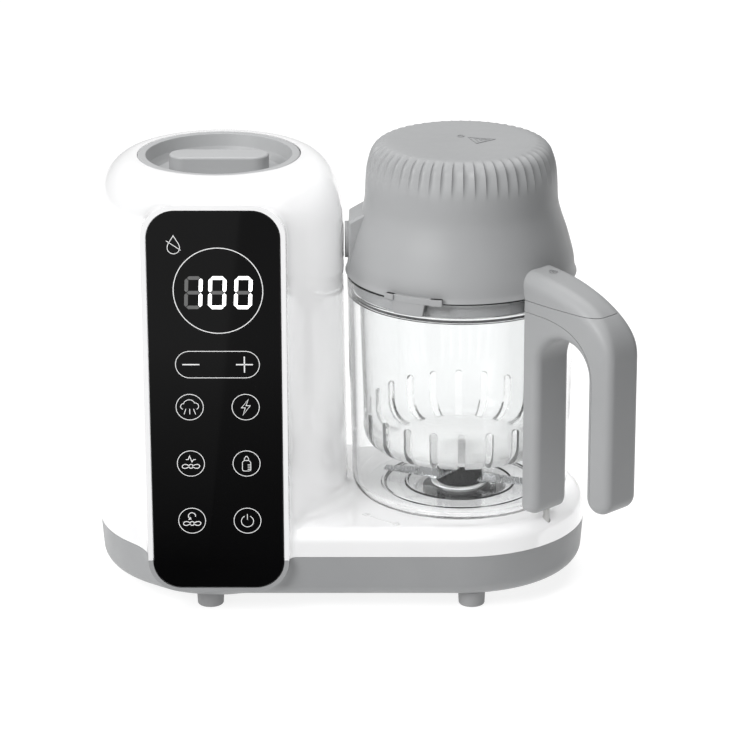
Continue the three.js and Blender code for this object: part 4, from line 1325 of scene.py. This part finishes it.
# ---- raised marks
def lock_marks(size, shackle_open):
    """A small padlock drawn in lines, as (x, y) points."""
    s = size
    body = [(-s, -s), (s, -s), (s, 0.3 * s), (-s, 0.3 * s)]
    tilt, end = (0.5 * s, 0.7 * s) if shackle_open else (0, 0.3 * s)
    left, right = tilt - 0.6 * s, tilt + 0.6 * s
    bow = [(-0.6 * s, 0.3 * s), (left, 1.1 * s), (right, 1.1 * s), (right, end)]
    rounded = corner_path([(*p, 0.4 * s) for p in bow])
    return [stroke(body, FINE_LINE, True), stroke(rounded, FINE_LINE)]


MARK_HIGH = 0.22


def turned_marks(strokes, centre, turn, height):
    """Puts (x, y) marks flat on a level surface."""
    c, s = math.cos(turn), math.sin(turn)

    def place(q, level):
        return (centre[0] + q[0] * c - q[1] * s, centre[1] + q[0] * s + q[1] * c, height + level)

    return ribbon_mesh("mark", strokes, place, MARK_HIGH)


def make_deck_marks():
    radius, height = 67, DECK_Z - 0.05
    path = arc((0, 0), radius, 223.5, 236.5, 16)
    pieces = [turned_marks([stroke(path, 0.7)], JUG, 0, height)]
    for degrees, is_open in ((221, True), (239, False)):
        spot = arc(JUG, radius, degrees, degrees, 1)[0]
        pieces.append(turned_marks(lock_marks(1.5, is_open), spot, math.radians(degrees + 90), height))
    finish_piece(gather("deck_marks", pieces), WHITE, "base")


def make_lid_marks():
    height = LID_TOP - 0.23
    arrow = []
    for share in (1.0, 0.66, 0.34):
        shift = 2.4 * (1 - share)
        corners = [(-6.6, 6), (7.3, 2.4), (-2.4, -5.8)]
        arrow.append(stroke([(x * share + shift, y * share) for x, y in corners], RING_LINE, True))
    arm_spot = handle_point(67, 1, 0)[:2]
    marks = [
        turned_marks(arrow, (JUG_X + 10.3, JUG_Y), 0, height),
        turned_marks([ring(1.7, 0.6, 24)], (JUG_X - 0.4, JUG_Y + 8.7), 0, height),
        turned_marks(lock_marks(1.7, False), arm_spot, HANDLE_TURN + math.pi / 2, 186.1),
    ]
    finish_piece(gather("lid_marks", marks), GREY, "lid")


# ---- carried-over nodes
NODES_BY_LOOK = (
    (PALE_NYLON, "interlock_plunger interlock_rod"),
    (SEAL, "cord_gland drive_belt"),
    (SILICONE, "feed_hose boiler_hose steam_hose"),
    (RUBBER, "steam_outlet"),
    (ALLOY, "boiler_body boiler_cover motor_body"),
    (STEEL, "thermostat motor_bracket motor_shaft drive_shaft blade_spindle"),
    (STEEL, "base_screw_1 base_screw_2 base_screw_3 base_screw_4"),
    (BRASS, "lower_bush upper_bush"),
    (BOARD, "touch_board power_board"),
)
NODE_LOOKS = {name: look for look, names in NODES_BY_LOOK for name in names.split()}


def dress_nodes():
    for name, node in NODES.items():
        if node.hide_render:
            continue
        node.data.materials.clear()
        node.data.materials.append(NODE_LOOKS.get(name, NYLON))
        node.data.shade_smooth()
        node.data.set_sharp_from_angle(angle=math.radians(25))


# ---- stage
TARGET_X = JUG_X - 31.8
TARGET_Z = 117.3
VIEW_UP_DEG = 19.45
VIEW_FAR = 1853


def place_aimed(name, data, place, direction):
    thing = bpy.data.objects.new(name, data)
    thing.location = place
    thing.rotation_mode = "QUATERNION"
    thing.rotation_quaternion = Vector(direction).to_track_quat("-Z", "Y")
    bpy.context.scene.collection.objects.link(thing)
    return thing


def make_camera():
    data = bpy.data.cameras.new("view")
    data.sensor_width = 36
    data.lens = 168.7
    data.shift_x = -0.0501
    data.clip_end = 50
    up = math.radians(VIEW_UP_DEG)
    away = Vector((0, -math.cos(up), math.sin(up)))
    target = Vector((TARGET_X, JUG_Y, TARGET_Z)) * MM
    camera = place_aimed("view", data, target + away * VIEW_FAR * MM, -away)
    bpy.context.scene.camera = camera


def area_light(name, place, aim, size, power):
    data = bpy.data.lights.new(name, "AREA")
    data.size = size
    data.energy = power
    return place_aimed(name, data, place, Vector(aim) - Vector(place))


def make_stage():
    scene = bpy.context.scene
    world = bpy.data.worlds.new("studio")
    world.use_nodes = True
    background = world.node_tree.nodes["Background"]
    background.inputs[0].default_value = (1, 1, 1, 1)
    background.inputs[1].default_value = 0.53
    scene.world = world
    scene.view_settings.view_transform = "Standard"
    scene.view_settings.look = "None"
    make_cards()
    area_light("key", (-1.2, -1.45, 1.4), (0, 0, 0.12), 1.0, 36)
    area_light("top", (0.1, 0.2, 1.8), (0, 0, 0.1), 1.4, 21)
    make_side_fill()


def make_side_fill():
    """A shadowless fill from the right that only the white housing catches."""
    fill = area_light("side_fill", (1.1, -0.35, 1.0), (0, 0, 0.1), 0.8, 14)
    fill.data.use_shadow = False
    fill.visible_glossy = False
    fill.visible_transmission = False
    white = bpy.data.collections.new("white_parts")
    fill.light_linking.receiver_collection = white


def card(name, corners, material, unseen_by=()):
    """A flat stage piece; unseen_by names the kinds of ray that pass it."""
    piece = mesh_piece(name, corners, [(0, 1, 2, 3)])
    piece.data.materials.append(material)
    for ray in unseen_by:
        setattr(piece, f"visible_{ray}", False)


def level_card(name, corners, *look):
    card(name, [(x, y, 0.8) for x, y in corners], *look)


def side_card(name, x, front, back, top, *look):
    card(name, [(x, front, 5), (x, back, 5), (x, back, top), (x, front, top)], *look)


def make_cards():
    """The floor, and cards out of the camera's sight.

    Only reflections see the two level ones in front, of which the left is lighter. The flag at the
    right deepens the shaded side. Only clear parts show the edge card, as a darker rim."""
    size = 12000
    floor = [(-size, -size, 0), (size, -size, 0), (size, size, 0), (-size, size, 0)]
    card("floor", floor, floor_material())
    split, split_far = TOWER_X - 9.5, TOWER_X - 35.33
    near, far = FRAME_FACE - 2, FRAME_FACE - 1500
    dark = [(split, near), (split_far, far), (1200, far), (1200, near)]
    light = [(-1200, near), (-1200, far), (split_far, far), (split, near)]
    mirrored = ("camera", "diffuse", "transmission", "shadow")
    level_card("mirror_card_dark", dark, mirror_card_material(0.18), mirrored)
    level_card("mirror_card_light", light, mirror_card_material(0.3), mirrored)
    side_card("flag", 480, -700, 250, 560, SEAL, ("camera",))
    side_card("edge_card", -330, 0, 700, 700, SEAL, ("camera", "diffuse", "glossy", "shadow"))


# ---- build
def build():
    make_camera()
    make_stage()
    make_housing()
    make_tray()
    make_feet()
    make_panel()
    make_symbols()
    make_digits()
    make_cap()
    make_tank()
    make_jug()
    make_basket()
    make_blades()
    make_base_ring()
    make_handle_and_lid()
    make_latch_tab()
    make_lid_rings()
    make_deck_marks()
    make_lid_marks()
    dress_nodes()


build()
